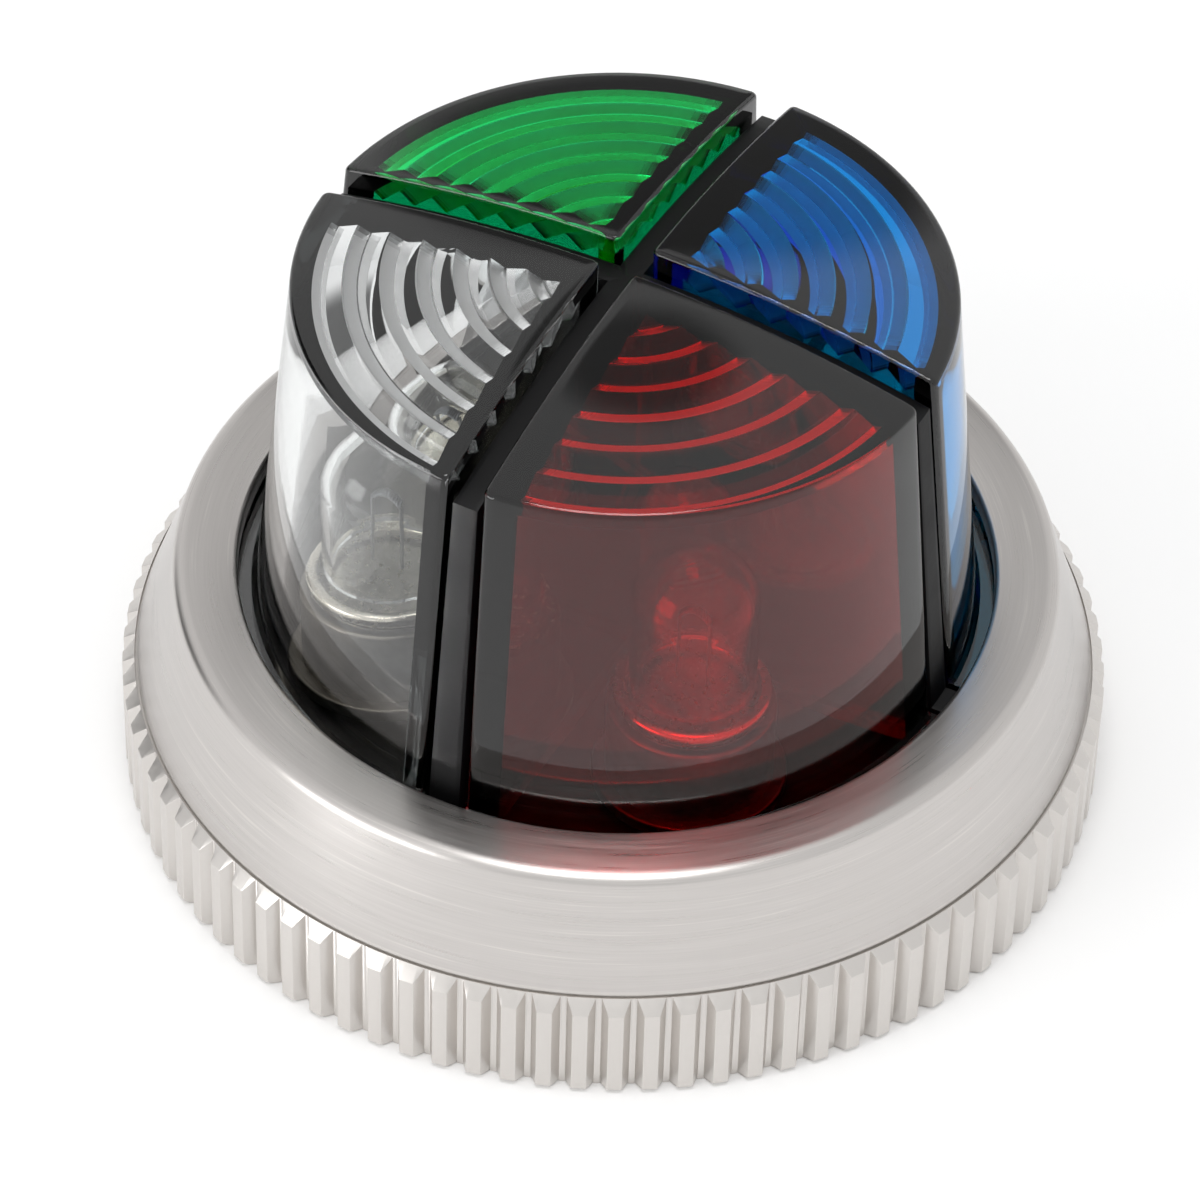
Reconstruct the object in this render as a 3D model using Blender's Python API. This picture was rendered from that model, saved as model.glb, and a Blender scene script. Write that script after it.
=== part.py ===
"""Four-lamp cluster indicator light: a knurled screw ring clamps four coloured quarter-round
caps and the black cross between them over four small lamps, which stand in a threaded housing.

Metres, +Z up. The origin is the centre of the underside, which stands on a surface or a panel.
The grooves between the caps lie along X and Y.
"""

import math

import bmesh
import bpy
from mathutils import Matrix, Vector

# Driving sizes, in metres. Sizes that follow from them are worked out below.
GAP = 0.0003                # clearance between neighbouring pieces

LENS_BASE_R = 0.01714       # caps' outer face at the height of their base
LENS_RIM_R = 0.0152
LENS_STANDS = 0.0170        # caps' rim above the ring's rim
LENS_CROWN = 0.0018         # rise of the domed top from its rim to the axis
LENS_WALL = 0.0013
FLANGE_WIDTH = 0.00276
FLANGE_THICK = 0.0009
GROOVE_HALF_TOP = 0.00083   # axis to a cap's side face, at the crown
GROOVE_HALF_BASE = 0.00108
PRISM_PITCH = 0.00165       # between the concentric ridges under the top
PRISM_DEPTH = 0.0007
PRISM_FIRST_R = 0.0037
PRISM_STEEP_SHARE = 0.35    # of the pitch, on a ridge's steep side

DIVIDER_CLEARANCE_TOP = 0.00025
DIVIDER_DROP = 0.0013       # its top edge below the caps' tops
DIVIDER_SET_BACK = 0.0001   # its outer edge behind the caps' faces

THREAD_PITCH = 0.0015
THREAD_TURNS = 3
THREAD_HEIGHT = 0.00055
THREAD_BASE = 0.0009        # tooth width at its root
THREAD_CREST = 0.00035      # tooth width at its crest
THREAD_START_Z = 0.0009
THREAD_FADE = 0.2           # of a turn, at each end

RING_WALL = 0.00205         # from the thread's root to the knurl's root
RIM_SET_IN = 0.0025         # ring's crest to the top of the shoulder
RIM_FILLET_WIDTH = 0.0007
RIM_FILLET_DROP = 0.00055
LIP_CLEARANCE = 0.00097     # round the caps, at the rim
LIP_THICK = 0.00095
LIP_CHAMFER = 0.00025
KNURL_DEPTH = 0.0006
KNURL_TEETH = 90
KNURL_CREST_SHARE = 0.42    # of one tooth's pitch
KNURL_ROOT_SHARE = 0.18
KNURL_HEIGHT = 0.0058
KNURL_FOOT_CHAMFER = 0.00025
SHOULDER_LAND = 0.00012     # step from the knurl in to the shoulder

GLASS_R = 0.00285
GLASS_WALL = 0.00035
GLASS_LENGTH = 0.0080       # above the lamp's flange
LAMP_FLANGE_THICK = 0.0007
LAMP_FLANGE_WIDTH = 0.0008
LAMP_BASE_R = 0.00275
LAMP_BASE_LENGTH = 0.0046   # below the flange, without the button
LAMP_BUTTON_R = 0.0010
LAMP_BUTTON_DROP = 0.0007
FILAMENT_WIRE_R = 0.00013
FILAMENT_HALF_SPAN = 0.0011
FILAMENT_HEIGHT = 0.0047    # above the lamp's flange
FILAMENT_BOW = 0.000855

SOCKET_CLEARANCE = 0.00035  # round the lamp's base
SOCKET_WALL = 0.0007
SOCKET_FLANGE_WIDTH = 0.0006
SOCKET_FLANGE_THICK = 0.0007
LAMP_MARGIN = 0.00037       # from a socket's flange out to its cap's wall
LAMP_TRAVEL = 0.0040        # how far a lamp slides up under its cap

BODY_WALL = 0.0016
BODY_LIP_WIDTH = 0.0015
BODY_LAND_WIDTH = 0.0010
BODY_LAND_RISE = 0.0004
BODY_LIP_THICK = 0.0009
GASKET_THICK = 0.0005
GASKET_ROOM = 0.0011        # from the body's land to the caps' base

BLOCK_Z = 0.0029
BLOCK_THICK = 0.0020
PLATE_THICK = 0.0004
DECK_EDGE_THICK = 0.0008
DECK_THICK = 0.0022
SNAP_RING_THICK = 0.0006
SNAP_RING_DEPTH = 0.0005    # of a snap ring's groove
SNAP_RING_WIDTH = 0.0019
RETAINER_WIDTH = 0.0013
RETAINER_RISE = 0.0006      # above the body's top
RING_GAP_ANGLE = 16         # of a snap ring, degrees

TAB_EDGE = 0.0006           # metal left beside a tab's larger hole
TAB_REACH = 0.0062          # between a tab's two holes
TAB_THICK = 0.0006
WIRE_HOLE_R = 0.0011
SCREW_R = 0.0011
SCREW_HEAD_R = 0.0021
SCREW_HEAD = 0.0013
CLAMP_SCREW_R = 0.0015
CLAMP_HEAD_R = 0.0027
SLOT_WIDTH = 0.0006
SLOT_DEPTH = 0.0006

PLUNGER_HEAD_R = 0.0021
PLUNGER_STEM_R = 0.0007
PLUNGER_HEAD = 0.0006
PLUNGER_FOOT_Z = 0.0019
SPRING_COIL_R = 0.0014
SPRING_WIRE_R = 0.00018
SPRING_TURNS = 2.25

PIN_R = 0.0005
PIN_HOLE_DEPTH = 0.0006
PIN_QUADRANT = "blue"

ROUND = 42                  # sides of the large turned pieces
SMALL_ROUND = 14
SCREW_ROUND = 12
SPRING_ROUND = 10

QUADRANTS = {"red": -45, "blue": 45, "green": 135, "clear": -135}

# Heights, from the underside up.
BLOCK_TOP_Z = BLOCK_Z + BLOCK_THICK
PLATE_Z = BLOCK_TOP_Z + GAP
DECK_Z = PLATE_Z + PLATE_THICK + GAP
DECK_STEP_Z = DECK_Z + DECK_EDGE_THICK
DECK_TOP_Z = DECK_Z + DECK_THICK
BODY_LIP_UNDER_Z = DECK_STEP_Z + GAP
BODY_TOP_Z = BODY_LIP_UNDER_Z + BODY_LIP_THICK
BODY_LAND_Z = BODY_TOP_Z + BODY_LAND_RISE
RETAINER_Z = BODY_TOP_Z + RETAINER_RISE
LENS_BASE_Z = BODY_LAND_Z + GASKET_ROOM
FLANGE_TOP_Z = LENS_BASE_Z + FLANGE_THICK
LIP_UNDER_Z = FLANGE_TOP_Z + GAP
RIM_Z = LIP_UNDER_Z + LIP_THICK
SHOULDER_TOP_Z = RIM_Z - RIM_FILLET_DROP
LENS_RIM_Z = RIM_Z + LENS_STANDS
LENS_TOP_Z = LENS_RIM_Z + LENS_CROWN
SOCKET_FLANGE_Z = DECK_TOP_Z + GAP
PLUNGER_TOP_Z = DECK_TOP_Z - 0.0001
LAMP_BUTTON_Z = PLUNGER_TOP_Z + GAP
LAMP_BASE_Z = LAMP_BUTTON_Z + LAMP_BUTTON_DROP
LAMP_FLANGE_Z = LAMP_BASE_Z + LAMP_BASE_LENGTH
LAMP_FLANGE_TOP_Z = LAMP_FLANGE_Z + LAMP_FLANGE_THICK
SOCKET_TOP_Z = LAMP_FLANGE_Z - GAP
GLASS_TOP_Z = LAMP_FLANGE_TOP_Z + GLASS_LENGTH
FILAMENT_TOP_Z = LAMP_FLANGE_TOP_Z + FILAMENT_HEIGHT

# Radii, from the caps out to the ring and in to the lamps.
FLANGE_R = LENS_BASE_R + FLANGE_WIDTH
THREAD_ROOT_R = FLANGE_R + 0.0001
RING_BORE_R = THREAD_ROOT_R + GAP
KNURL_ROOT_R = RING_BORE_R + THREAD_HEIGHT + RING_WALL
RING_CREST_R = KNURL_ROOT_R + KNURL_DEPTH
SHOULDER_TOP_R = RING_CREST_R - RIM_SET_IN
RIM_FLAT_R = SHOULDER_TOP_R - RIM_FILLET_WIDTH
BODY_BORE_R = THREAD_ROOT_R - BODY_WALL
BODY_LIP_R = BODY_BORE_R - BODY_LIP_WIDTH
BODY_LAND_R = BODY_LIP_R + BODY_LAND_WIDTH
SOCKET_BORE_R = LAMP_BASE_R + SOCKET_CLEARANCE
SOCKET_R = SOCKET_BORE_R + SOCKET_WALL
SOCKET_FLANGE_R = SOCKET_R + SOCKET_FLANGE_WIDTH
SOCKET_SPIGOT_R = SOCKET_R - GAP
LAMP_FLANGE_R = LAMP_BASE_R + LAMP_FLANGE_WIDTH
PIN_CIRCLE_R = BODY_LAND_R + PIN_R + GAP / 2
DIVIDER_HALF_TOP = GROOVE_HALF_TOP - DIVIDER_CLEARANCE_TOP
DIVIDER_HALF_BASE = GROOVE_HALF_BASE - GAP


def clear_scene():
    for thing in list(bpy.data.objects):
        bpy.data.objects.remove(thing, do_unlink=True)


def make_material(name, colour, roughness, metallic=0.0, transmission=0.0):
    made = bpy.data.materials.new(name)
    made.use_nodes = True
    shader = made.node_tree.nodes["Principled BSDF"]
    shader.inputs["Base Color"].default_value = (*colour, 1.0)
    shader.inputs["Roughness"].default_value = roughness
    shader.inputs["Metallic"].default_value = metallic
    shader.inputs["Transmission Weight"].default_value = transmission
    made.diffuse_color = (*colour, 1.0)
    return made


def finish(name, shape, surface, place=(0, 0), turn=0, parent=None):
    """Makes the bmesh an object: normals out, smooth where round, placed in plan and turned about Z."""
    bmesh.ops.remove_doubles(shape, verts=shape.verts, dist=1e-8)
    bmesh.ops.recalc_face_normals(shape, faces=shape.faces)
    mesh = bpy.data.meshes.new(name)
    shape.to_mesh(mesh)
    shape.free()
    return place_mesh(name, mesh, surface, place, turn, parent)


def place_mesh(name, mesh, surface, place=(0, 0), turn=0, parent=None):
    made = bpy.data.objects.new(name, mesh)
    bpy.context.scene.collection.objects.link(made)
    made.location = (place[0], place[1], 0)
    made.rotation_euler = (0, 0, math.radians(turn))
    made.parent = parent
    if surface:
        mesh.materials.clear()
        mesh.materials.append(surface)
    mesh.shade_smooth()
    mesh.set_sharp_from_angle(angle=math.radians(32))
    return made


def boolean(target, tool, operation):
    """Applies one exact Boolean to the target and removes the tool."""
    modifier = target.modifiers.new(operation, "BOOLEAN")
    modifier.operation = operation
    modifier.solver = "EXACT"
    modifier.object = tool
    bpy.context.view_layer.update()
    graph = bpy.context.evaluated_depsgraph_get()
    result = bpy.data.meshes.new_from_object(target.evaluated_get(graph))
    target.modifiers.clear()
    target.data = result
    bpy.data.objects.remove(tool, do_unlink=True)
    result.shade_smooth()
    result.set_sharp_from_angle(angle=math.radians(32))


def turned(profile, sides, on_axis=False):
    """A turned shape from (radius, height) points: a closed outline, or with on_axis a line from axis to axis."""
    shape = bmesh.new()
    points = [shape.verts.new((r, 0, z)) for r, z in profile]
    pairs = list(zip(points, points[1:]))
    if not on_axis:
        pairs.append((points[-1], points[0]))
    edges = [shape.edges.new(pair) for pair in pairs]
    bmesh.ops.spin(
        shape, geom=points + edges, cent=(0, 0, 0), axis=(0, 0, 1),
        angle=math.tau, steps=sides, use_merge=True,
    )
    bmesh.ops.remove_doubles(shape, verts=shape.verts, dist=1e-8)
    bmesh.ops.recalc_face_normals(shape, faces=shape.faces)
    return shape


def disc(radius, low, high, sides):
    return turned([(0, low), (radius, low), (radius, high), (0, high)], sides, on_axis=True)


def tube(inner, outer, low, high, sides):
    return turned([(inner, low), (outer, low), (outer, high), (inner, high)], sides)


def block(low, high):
    """A box between two corners."""
    shape = bmesh.new()
    size = Vector(high) - Vector(low)
    middle = (Vector(high) + Vector(low)) / 2
    bmesh.ops.create_cube(shape, size=1, matrix=Matrix.Translation(middle) @ Matrix.Diagonal((*size, 1)))
    return shape


def drill(target, radius, low, high, place=(0, 0), sides=SMALL_ROUND):
    cutter = finish("drill", disc(radius, low, high, sides), None, place)
    boolean(target, cutter, "DIFFERENCE")


def lens_face_r(z):
    """Radius of the caps' tapered outer face at a height."""
    share = (z - LENS_BASE_Z) / (LENS_RIM_Z - LENS_BASE_Z)
    return LENS_BASE_R + (LENS_RIM_R - LENS_BASE_R) * share


def lamp_circle_r():
    """The circle that the lamps stand on: as far out as the tapered wall lets a socket and a raised lamp be."""
    def room(z, radius, margin):
        return lens_face_r(z) - LENS_WALL - radius - margin

    shoulder_z = GLASS_TOP_Z - GLASS_R
    return min(
        room(LENS_BASE_Z, SOCKET_FLANGE_R, LAMP_MARGIN),
        room(LAMP_FLANGE_TOP_Z + LAMP_TRAVEL, LAMP_FLANGE_R, GAP),
        room(shoulder_z + LAMP_TRAVEL, GLASS_R, GAP),
    )


def lamp_place(angle):
    turn = math.radians(angle)
    return (lamp_circle_r() * math.cos(turn), lamp_circle_r() * math.sin(turn))


def pin_place():
    turn = math.radians(QUADRANTS[PIN_QUADRANT])
    return (PIN_CIRCLE_R * math.cos(turn), PIN_CIRCLE_R * math.sin(turn))


# Loops of points round the Z axis, for the threaded and knurled pieces.

def round_loop(shape, radius, z, count):
    turns = [math.tau * i / count for i in range(count)]
    return [shape.verts.new((radius * math.cos(t), radius * math.sin(t), z)) for t in turns]


def angle_of(point):
    return math.atan2(point.co.y, point.co.x) % math.tau


def skin(shape, first, second):
    """Faces between two loops that both run round from +X, of equal or different counts."""
    if len(first) == len(second):
        for i in range(len(first)):
            j = (i + 1) % len(first)
            shape.faces.new((first[i], first[j], second[j], second[i]))
        return
    i = j = 0
    while i < len(first) or j < len(second):
        next_first = angle_of(first[i + 1]) if i + 1 < len(first) else math.tau
        next_second = angle_of(second[j + 1]) if j + 1 < len(second) else math.tau
        a = first[i % len(first)]
        b = second[j % len(second)]
        step_first = j >= len(second) or (i < len(first) and next_first <= next_second)
        if step_first:
            shape.faces.new((a, first[(i + 1) % len(first)], b))
            i += 1
        else:
            shape.faces.new((a, second[(j + 1) % len(second)], b))
            j += 1


def thread_wall(shape, lower, upper, root_r, crest_r, start_z):
    """A helical thread, right-handed, on the wall between two loops at the root radius."""
    count = len(lower)
    last = count * THREAD_TURNS
    flank = (THREAD_BASE - THREAD_CREST) / 2
    offsets = (0, flank, flank + THREAD_CREST, THREAD_BASE)
    columns = []
    for u in range(last + 1):
        run = min(u, last - u) / (count * THREAD_FADE)
        tall = root_r + (crest_r - root_r) * min(1, run)
        turn = math.tau * (u % count) / count
        rise = start_z + THREAD_PITCH * u / count
        radii = (root_r, tall, tall, root_r)
        columns.append([
            shape.verts.new((r * math.cos(turn), r * math.sin(turn), rise + up))
            for r, up in zip(radii, offsets)
        ])
    for u in range(last):
        here, there = columns[u], columns[u + 1]
        for j in range(3):
            shape.faces.new((here[j], there[j], there[j + 1], here[j + 1]))
    for u in range(last - count):
        shape.faces.new((columns[u][3], columns[u + 1][3], columns[u + 1 + count][0], columns[u + count][0]))
    for i in range(count - 1):
        shape.faces.new((lower[i], lower[i + 1], columns[i + 1][0], columns[i][0]))
    shape.faces.new((lower[-1], lower[0], *columns[0], columns[count][0], columns[count - 1][0]))
    start = last - count
    for u in range(start + 1, last):
        shape.faces.new((columns[u][3], columns[u + 1][3], upper[(u + 1) % count], upper[u % count]))
    shape.faces.new((
        columns[start][3], columns[start + 1][3], upper[1], upper[0],
        *reversed(columns[last]),
    ))


def thread_top(start_z):
    return start_z + THREAD_PITCH * THREAD_TURNS + THREAD_BASE


def knurl_points(crest_r, root_r):
    """(radius, angle, is_crest) round one knurled outline, from the middle of a root land."""
    pitch = math.tau / KNURL_TEETH
    root = pitch * KNURL_ROOT_SHARE
    crest = pitch * KNURL_CREST_SHARE
    flank = (pitch - root - crest) / 2
    for tooth in range(KNURL_TEETH):
        start = tooth * pitch
        yield root_r, start, False
        yield crest_r, start + flank, True
        yield crest_r, start + flank + crest, True
        yield root_r, start + 2 * flank + crest, False


def make_bezel_ring(surface):
    """The knurled screw ring: bore with its thread, snap-ring groove, lip, rounded rim, shoulder, knurl."""
    shape = bmesh.new()
    root_r = RING_BORE_R + THREAD_HEIGHT
    start_z = THREAD_START_Z + THREAD_PITCH / 2
    groove_r = RING_BORE_R + SNAP_RING_DEPTH
    groove_low = RETAINER_Z - GAP / 2
    groove_high = RETAINER_Z + SNAP_RING_THICK + GAP / 2
    relief_z = thread_top(start_z) + GAP
    lower = round_loop(shape, root_r, 0, ROUND)
    upper = round_loop(shape, root_r, relief_z, ROUND)
    thread_wall(shape, lower, upper, root_r, RING_BORE_R, start_z)
    lip_r = lens_face_r(RIM_Z) + LIP_CLEARANCE
    fillet = [
        (RIM_FLAT_R + RIM_FILLET_WIDTH * math.sin(t), RIM_Z - RIM_FILLET_DROP * (1 - math.cos(t)))
        for t in (0, math.pi / 6, math.pi / 3, math.pi / 2)
    ]
    outline = [
        (RING_BORE_R, relief_z + GAP), (RING_BORE_R, groove_low), (groove_r, groove_low),
        (groove_r, groove_high), (RING_BORE_R, groove_high), (RING_BORE_R, LIP_UNDER_Z),
        (lip_r, LIP_UNDER_Z), (lip_r, RIM_Z - LIP_CHAMFER), (lip_r + LIP_CHAMFER, RIM_Z), *fillet,
        (KNURL_ROOT_R - SHOULDER_LAND, KNURL_HEIGHT + SHOULDER_LAND),
    ]
    before = upper
    for r, z in outline:
        loop = round_loop(shape, r, z, ROUND)
        skin(shape, before, loop)
        before = loop

    def point(r, turn, z):
        return shape.verts.new((r * math.cos(turn), r * math.sin(turn), z))

    top, side, low, foot = [], [], [], []
    crest_top_z = KNURL_HEIGHT - KNURL_DEPTH
    for r, turn, is_crest in knurl_points(RING_CREST_R, KNURL_ROOT_R):
        high = point(KNURL_ROOT_R, turn, KNURL_HEIGHT)
        bottom = point(r - KNURL_FOOT_CHAMFER if is_crest else r, turn, 0)
        top.append(high)
        foot.append(bottom)
        side.append(point(r, turn, crest_top_z) if is_crest else high)
        low.append(point(r, turn, KNURL_FOOT_CHAMFER) if is_crest else bottom)
    skin(shape, before, top)
    for i in range(len(top)):
        j = (i + 1) % len(top)
        for upper_pair, lower_pair in (((top[i], top[j]), (side[i], side[j])),
                                       ((side[i], side[j]), (low[i], low[j])),
                                       ((low[i], low[j]), (foot[i], foot[j]))):
            corners = dict.fromkeys((*upper_pair, lower_pair[1], lower_pair[0]))
            if len(corners) > 2:
                shape.faces.new(tuple(corners))
    skin(shape, foot, lower)
    return finish("bezel_ring", shape, surface)


def make_snap_ring(name, outer_r, width, low, surface, turn):
    """An open flat ring of spring steel."""
    ring = finish(name, tube(outer_r - width, outer_r, low, low + SNAP_RING_THICK, ROUND), surface)
    reach = outer_r * 1.2
    half = reach * math.sin(math.radians(RING_GAP_ANGLE) / 2)
    slot = block((0, -half, low - GAP), (reach, half, low + SNAP_RING_THICK + GAP))
    cutter = finish("ring_gap", slot, None)
    cutter.rotation_euler = (0, 0, math.radians(turn))
    boolean(ring, cutter, "DIFFERENCE")
    return ring


def dome_z(r):
    """Height of the shallow domed top at a distance from the axis."""
    return LENS_TOP_Z - (LENS_TOP_Z - LENS_RIM_Z) * (r / LENS_RIM_R) ** 2


def half_gap(z, top, base):
    share = (z - LENS_BASE_Z) / (LENS_TOP_Z - LENS_BASE_Z)
    return base + (top - base) * share


def wedge(inset, low, high):
    """A quarter block that keeps to one quadrant, its two side faces drafted like the caps' sides."""
    shape = bmesh.new()
    far = FLANGE_R * 1.2
    rings = []
    for z in (low, high):
        near = half_gap(z, GROOVE_HALF_TOP, GROOVE_HALF_BASE) + inset
        rings.append([shape.verts.new((x, y, z)) for x, y in ((near, near), (far, near), (far, far), (near, far))])
    shape.faces.new(rings[0])
    shape.faces.new(rings[1])
    for i in range(4):
        j = (i + 1) % 4
        shape.faces.new((rings[0][i], rings[0][j], rings[1][j], rings[1][i]))
    return shape


def make_lens_mesh():
    """One quarter-round cap: foot flange, tapered wall, domed top, concentric ridges under the top."""
    dome = [(r, dome_z(r)) for r in (LENS_RIM_R * k / 4 for k in range(3, -1, -1))]
    outside = [
        (0, LENS_BASE_Z), (FLANGE_R, LENS_BASE_Z), (FLANGE_R, FLANGE_TOP_Z),
        (lens_face_r(FLANGE_TOP_Z), FLANGE_TOP_Z), (LENS_RIM_R, LENS_RIM_Z), *dome,
    ]
    lens = finish("lens", turned(outside, ROUND, on_axis=True), None)
    margin = LENS_WALL
    boolean(lens, finish("lens_wedge", wedge(0, LENS_BASE_Z - margin, LENS_TOP_Z + margin), None), "INTERSECT")
    inner_rim_r = lens_face_r(LENS_RIM_Z - LENS_WALL) - LENS_WALL
    roof = []
    r = PRISM_FIRST_R
    while r + PRISM_PITCH < inner_rim_r:
        roof.append((r, dome_z(r) - LENS_WALL - PRISM_DEPTH))
        roof.append((r + PRISM_PITCH * PRISM_STEEP_SHARE, dome_z(r) - LENS_WALL))
        r += PRISM_PITCH
    floor_z = LENS_BASE_Z - LENS_WALL
    inside = [
        (0, floor_z), (lens_face_r(floor_z) - LENS_WALL, floor_z),
        (inner_rim_r, dome_z(inner_rim_r) - LENS_WALL), *reversed(roof), (0, LENS_TOP_Z - LENS_WALL),
    ]
    hollow = finish("hollow", turned(inside, ROUND, on_axis=True), None)
    boolean(hollow, finish("hollow_wedge", wedge(LENS_WALL, floor_z - margin, LENS_TOP_Z), None), "INTERSECT")
    boolean(lens, hollow, "DIFFERENCE")
    mesh = lens.data
    bpy.data.objects.remove(lens, do_unlink=True)
    return mesh


def make_lenses(surfaces, parent):
    master = make_lens_mesh()
    for colour, angle in QUADRANTS.items():
        mesh = master.copy()
        lens = place_mesh(f"lens_{colour}", mesh, surfaces[colour], turn=angle - 45, parent=parent)
        if colour == PIN_QUADRANT:
            drill(lens, PIN_R + GAP, LENS_BASE_Z - GAP, LENS_BASE_Z + PIN_HOLE_DEPTH, pin_place(), SCREW_ROUND)


def make_light_divider(surface, parent):
    """The opaque cross between the caps, its top edge sunk below theirs."""
    top_r = LENS_RIM_R - DIVIDER_SET_BACK
    outline = [
        (0, LENS_BASE_Z), (FLANGE_R, LENS_BASE_Z), (FLANGE_R, FLANGE_TOP_Z),
        (lens_face_r(FLANGE_TOP_Z) - DIVIDER_SET_BACK, FLANGE_TOP_Z),
        (top_r, dome_z(top_r) - DIVIDER_DROP), (top_r / 2, dome_z(top_r / 2) - DIVIDER_DROP),
        (0, LENS_TOP_Z - DIVIDER_DROP),
    ]
    divider = finish("light_divider", turned(outline, ROUND, on_axis=True), surface, parent=parent)
    cross = bmesh.new()
    far = FLANGE_R * 1.2
    rings = []
    for z in (LENS_BASE_Z - GAP, LENS_TOP_Z):
        near = half_gap(z, DIVIDER_HALF_TOP, DIVIDER_HALF_BASE)
        arm = [(far, near), (near, near)]
        corners = []
        for quarter in range(4):
            turn = Matrix.Rotation(quarter * math.pi / 2, 2)
            corners += [turn @ Vector(corner) for corner in (*arm, (near, far))]
        rings.append([cross.verts.new((x, y, z)) for x, y in corners])
    cross.faces.new(rings[0])
    cross.faces.new(rings[1])
    for i in range(len(rings[0])):
        j = (i + 1) % len(rings[0])
        cross.faces.new((rings[0][i], rings[0][j], rings[1][j], rings[1][i]))
    boolean(divider, finish("cross", cross, None), "INTERSECT")
    return divider


def make_threaded_body(surface):
    """The housing barrel: outer thread, bore, inward lip that stops the deck, snap-ring groove."""
    shape = bmesh.new()
    crest_r = THREAD_ROOT_R + THREAD_HEIGHT
    relief_z = thread_top(THREAD_START_Z) + GAP
    lower = round_loop(shape, THREAD_ROOT_R, 0, ROUND)
    upper = round_loop(shape, THREAD_ROOT_R, relief_z, ROUND)
    thread_wall(shape, lower, upper, THREAD_ROOT_R, crest_r, THREAD_START_Z)
    groove_r = BODY_BORE_R + SNAP_RING_DEPTH
    groove_high = BLOCK_Z - GAP / 2
    groove_low = groove_high - SNAP_RING_THICK - GAP
    outline = [
        (THREAD_ROOT_R, BODY_TOP_Z), (BODY_LAND_R, BODY_TOP_Z), (BODY_LAND_R, BODY_LAND_Z),
        (BODY_LIP_R, BODY_LAND_Z), (BODY_LIP_R, BODY_LIP_UNDER_Z), (BODY_BORE_R, BODY_LIP_UNDER_Z),
        (BODY_BORE_R, groove_high), (groove_r, groove_high), (groove_r, groove_low),
        (BODY_BORE_R, groove_low), (BODY_BORE_R, 0),
    ]
    before = upper
    for r, z in outline:
        loop = round_loop(shape, r, z, ROUND)
        skin(shape, before, loop)
        before = loop
    skin(shape, before, lower)
    body = finish("threaded_body", shape, surface)
    drill(body, PIN_R + GAP, BODY_TOP_Z - PIN_HOLE_DEPTH, BODY_TOP_Z + GAP, pin_place(), SCREW_ROUND)
    return body


def make_gasket(surface):
    low = BODY_LAND_Z + GAP / 2
    return finish("lens_gasket", tube(BODY_LIP_R, BODY_LAND_R, low, low + GASKET_THICK, ROUND), surface)


def make_lamp_deck(surface):
    """The moulded deck that the lamp sockets stand in, with a blind hole for the clamp screw."""
    wide = BODY_BORE_R - GAP
    narrow = BODY_LIP_R - GAP
    outline = [(0, DECK_Z), (wide, DECK_Z), (wide, DECK_STEP_Z), (narrow, DECK_STEP_Z),
               (narrow, DECK_TOP_Z), (0, DECK_TOP_Z)]
    deck = finish("lamp_deck", turned(outline, ROUND, on_axis=True), surface)
    for angle in QUADRANTS.values():
        drill(deck, SOCKET_SPIGOT_R + GAP, DECK_Z - GAP, DECK_TOP_Z + GAP, lamp_place(angle))
    drill(deck, CLAMP_SCREW_R + GAP, DECK_Z - GAP, DECK_TOP_Z - 2 * GAP, sides=SCREW_ROUND)
    return deck


def make_common_plate(surface):
    """The thin plate that joins the four socket sleeves electrically."""
    high = PLATE_Z + PLATE_THICK
    plate = finish("common_plate", disc(BODY_BORE_R - 3 * GAP, PLATE_Z, high, ROUND), surface)
    for angle in QUADRANTS.values():
        drill(plate, PLUNGER_HEAD_R + GAP, PLATE_Z - GAP, high + GAP, lamp_place(angle))
    drill(plate, CLAMP_SCREW_R + GAP, PLATE_Z - GAP, high + GAP, sides=SCREW_ROUND)
    return plate


def tab_screw_place(angle):
    """Where a lamp tab's screw stands: on the lamp circle, beside its plunger."""
    turn = math.radians(angle)
    along = Vector((-math.sin(turn), math.cos(turn))) * TAB_REACH
    return Vector(lamp_place(angle)) - along


def make_terminal_block(surface):
    disc_r = BODY_BORE_R - GAP
    made = finish("terminal_block", disc(disc_r, BLOCK_Z, BLOCK_TOP_Z, ROUND), surface)
    for angle in QUADRANTS.values():
        drill(made, PLUNGER_STEM_R + GAP, BLOCK_Z - GAP, BLOCK_TOP_Z + GAP, lamp_place(angle), SCREW_ROUND)
        drill(made, SCREW_R + GAP, BLOCK_Z - GAP, BLOCK_TOP_Z - 2 * GAP, tab_screw_place(angle), SCREW_ROUND)
    drill(made, CLAMP_SCREW_R + GAP, BLOCK_Z - GAP, BLOCK_TOP_Z + GAP, sides=SCREW_ROUND)
    return made


def make_screw(name, surface, head_r, shank_r, under_z, length, place):
    """A slotted pan-head screw, head down, its head bearing upwards at under_z."""
    low = under_z - SCREW_HEAD
    outline = [(0, low), (head_r * 0.8, low), (head_r, low + SCREW_HEAD * 0.3), (head_r, under_z),
               (shank_r, under_z), (shank_r, under_z + length), (0, under_z + length)]
    screw = finish(name, turned(outline, SCREW_ROUND, on_axis=True), surface, place)
    slot = block((-head_r * 2, -SLOT_WIDTH / 2, low - GAP), (head_r * 2, SLOT_WIDTH / 2, low + SLOT_DEPTH))
    boolean(screw, finish("slot", slot, None, place, turn=30), "DIFFERENCE")
    return screw


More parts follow.
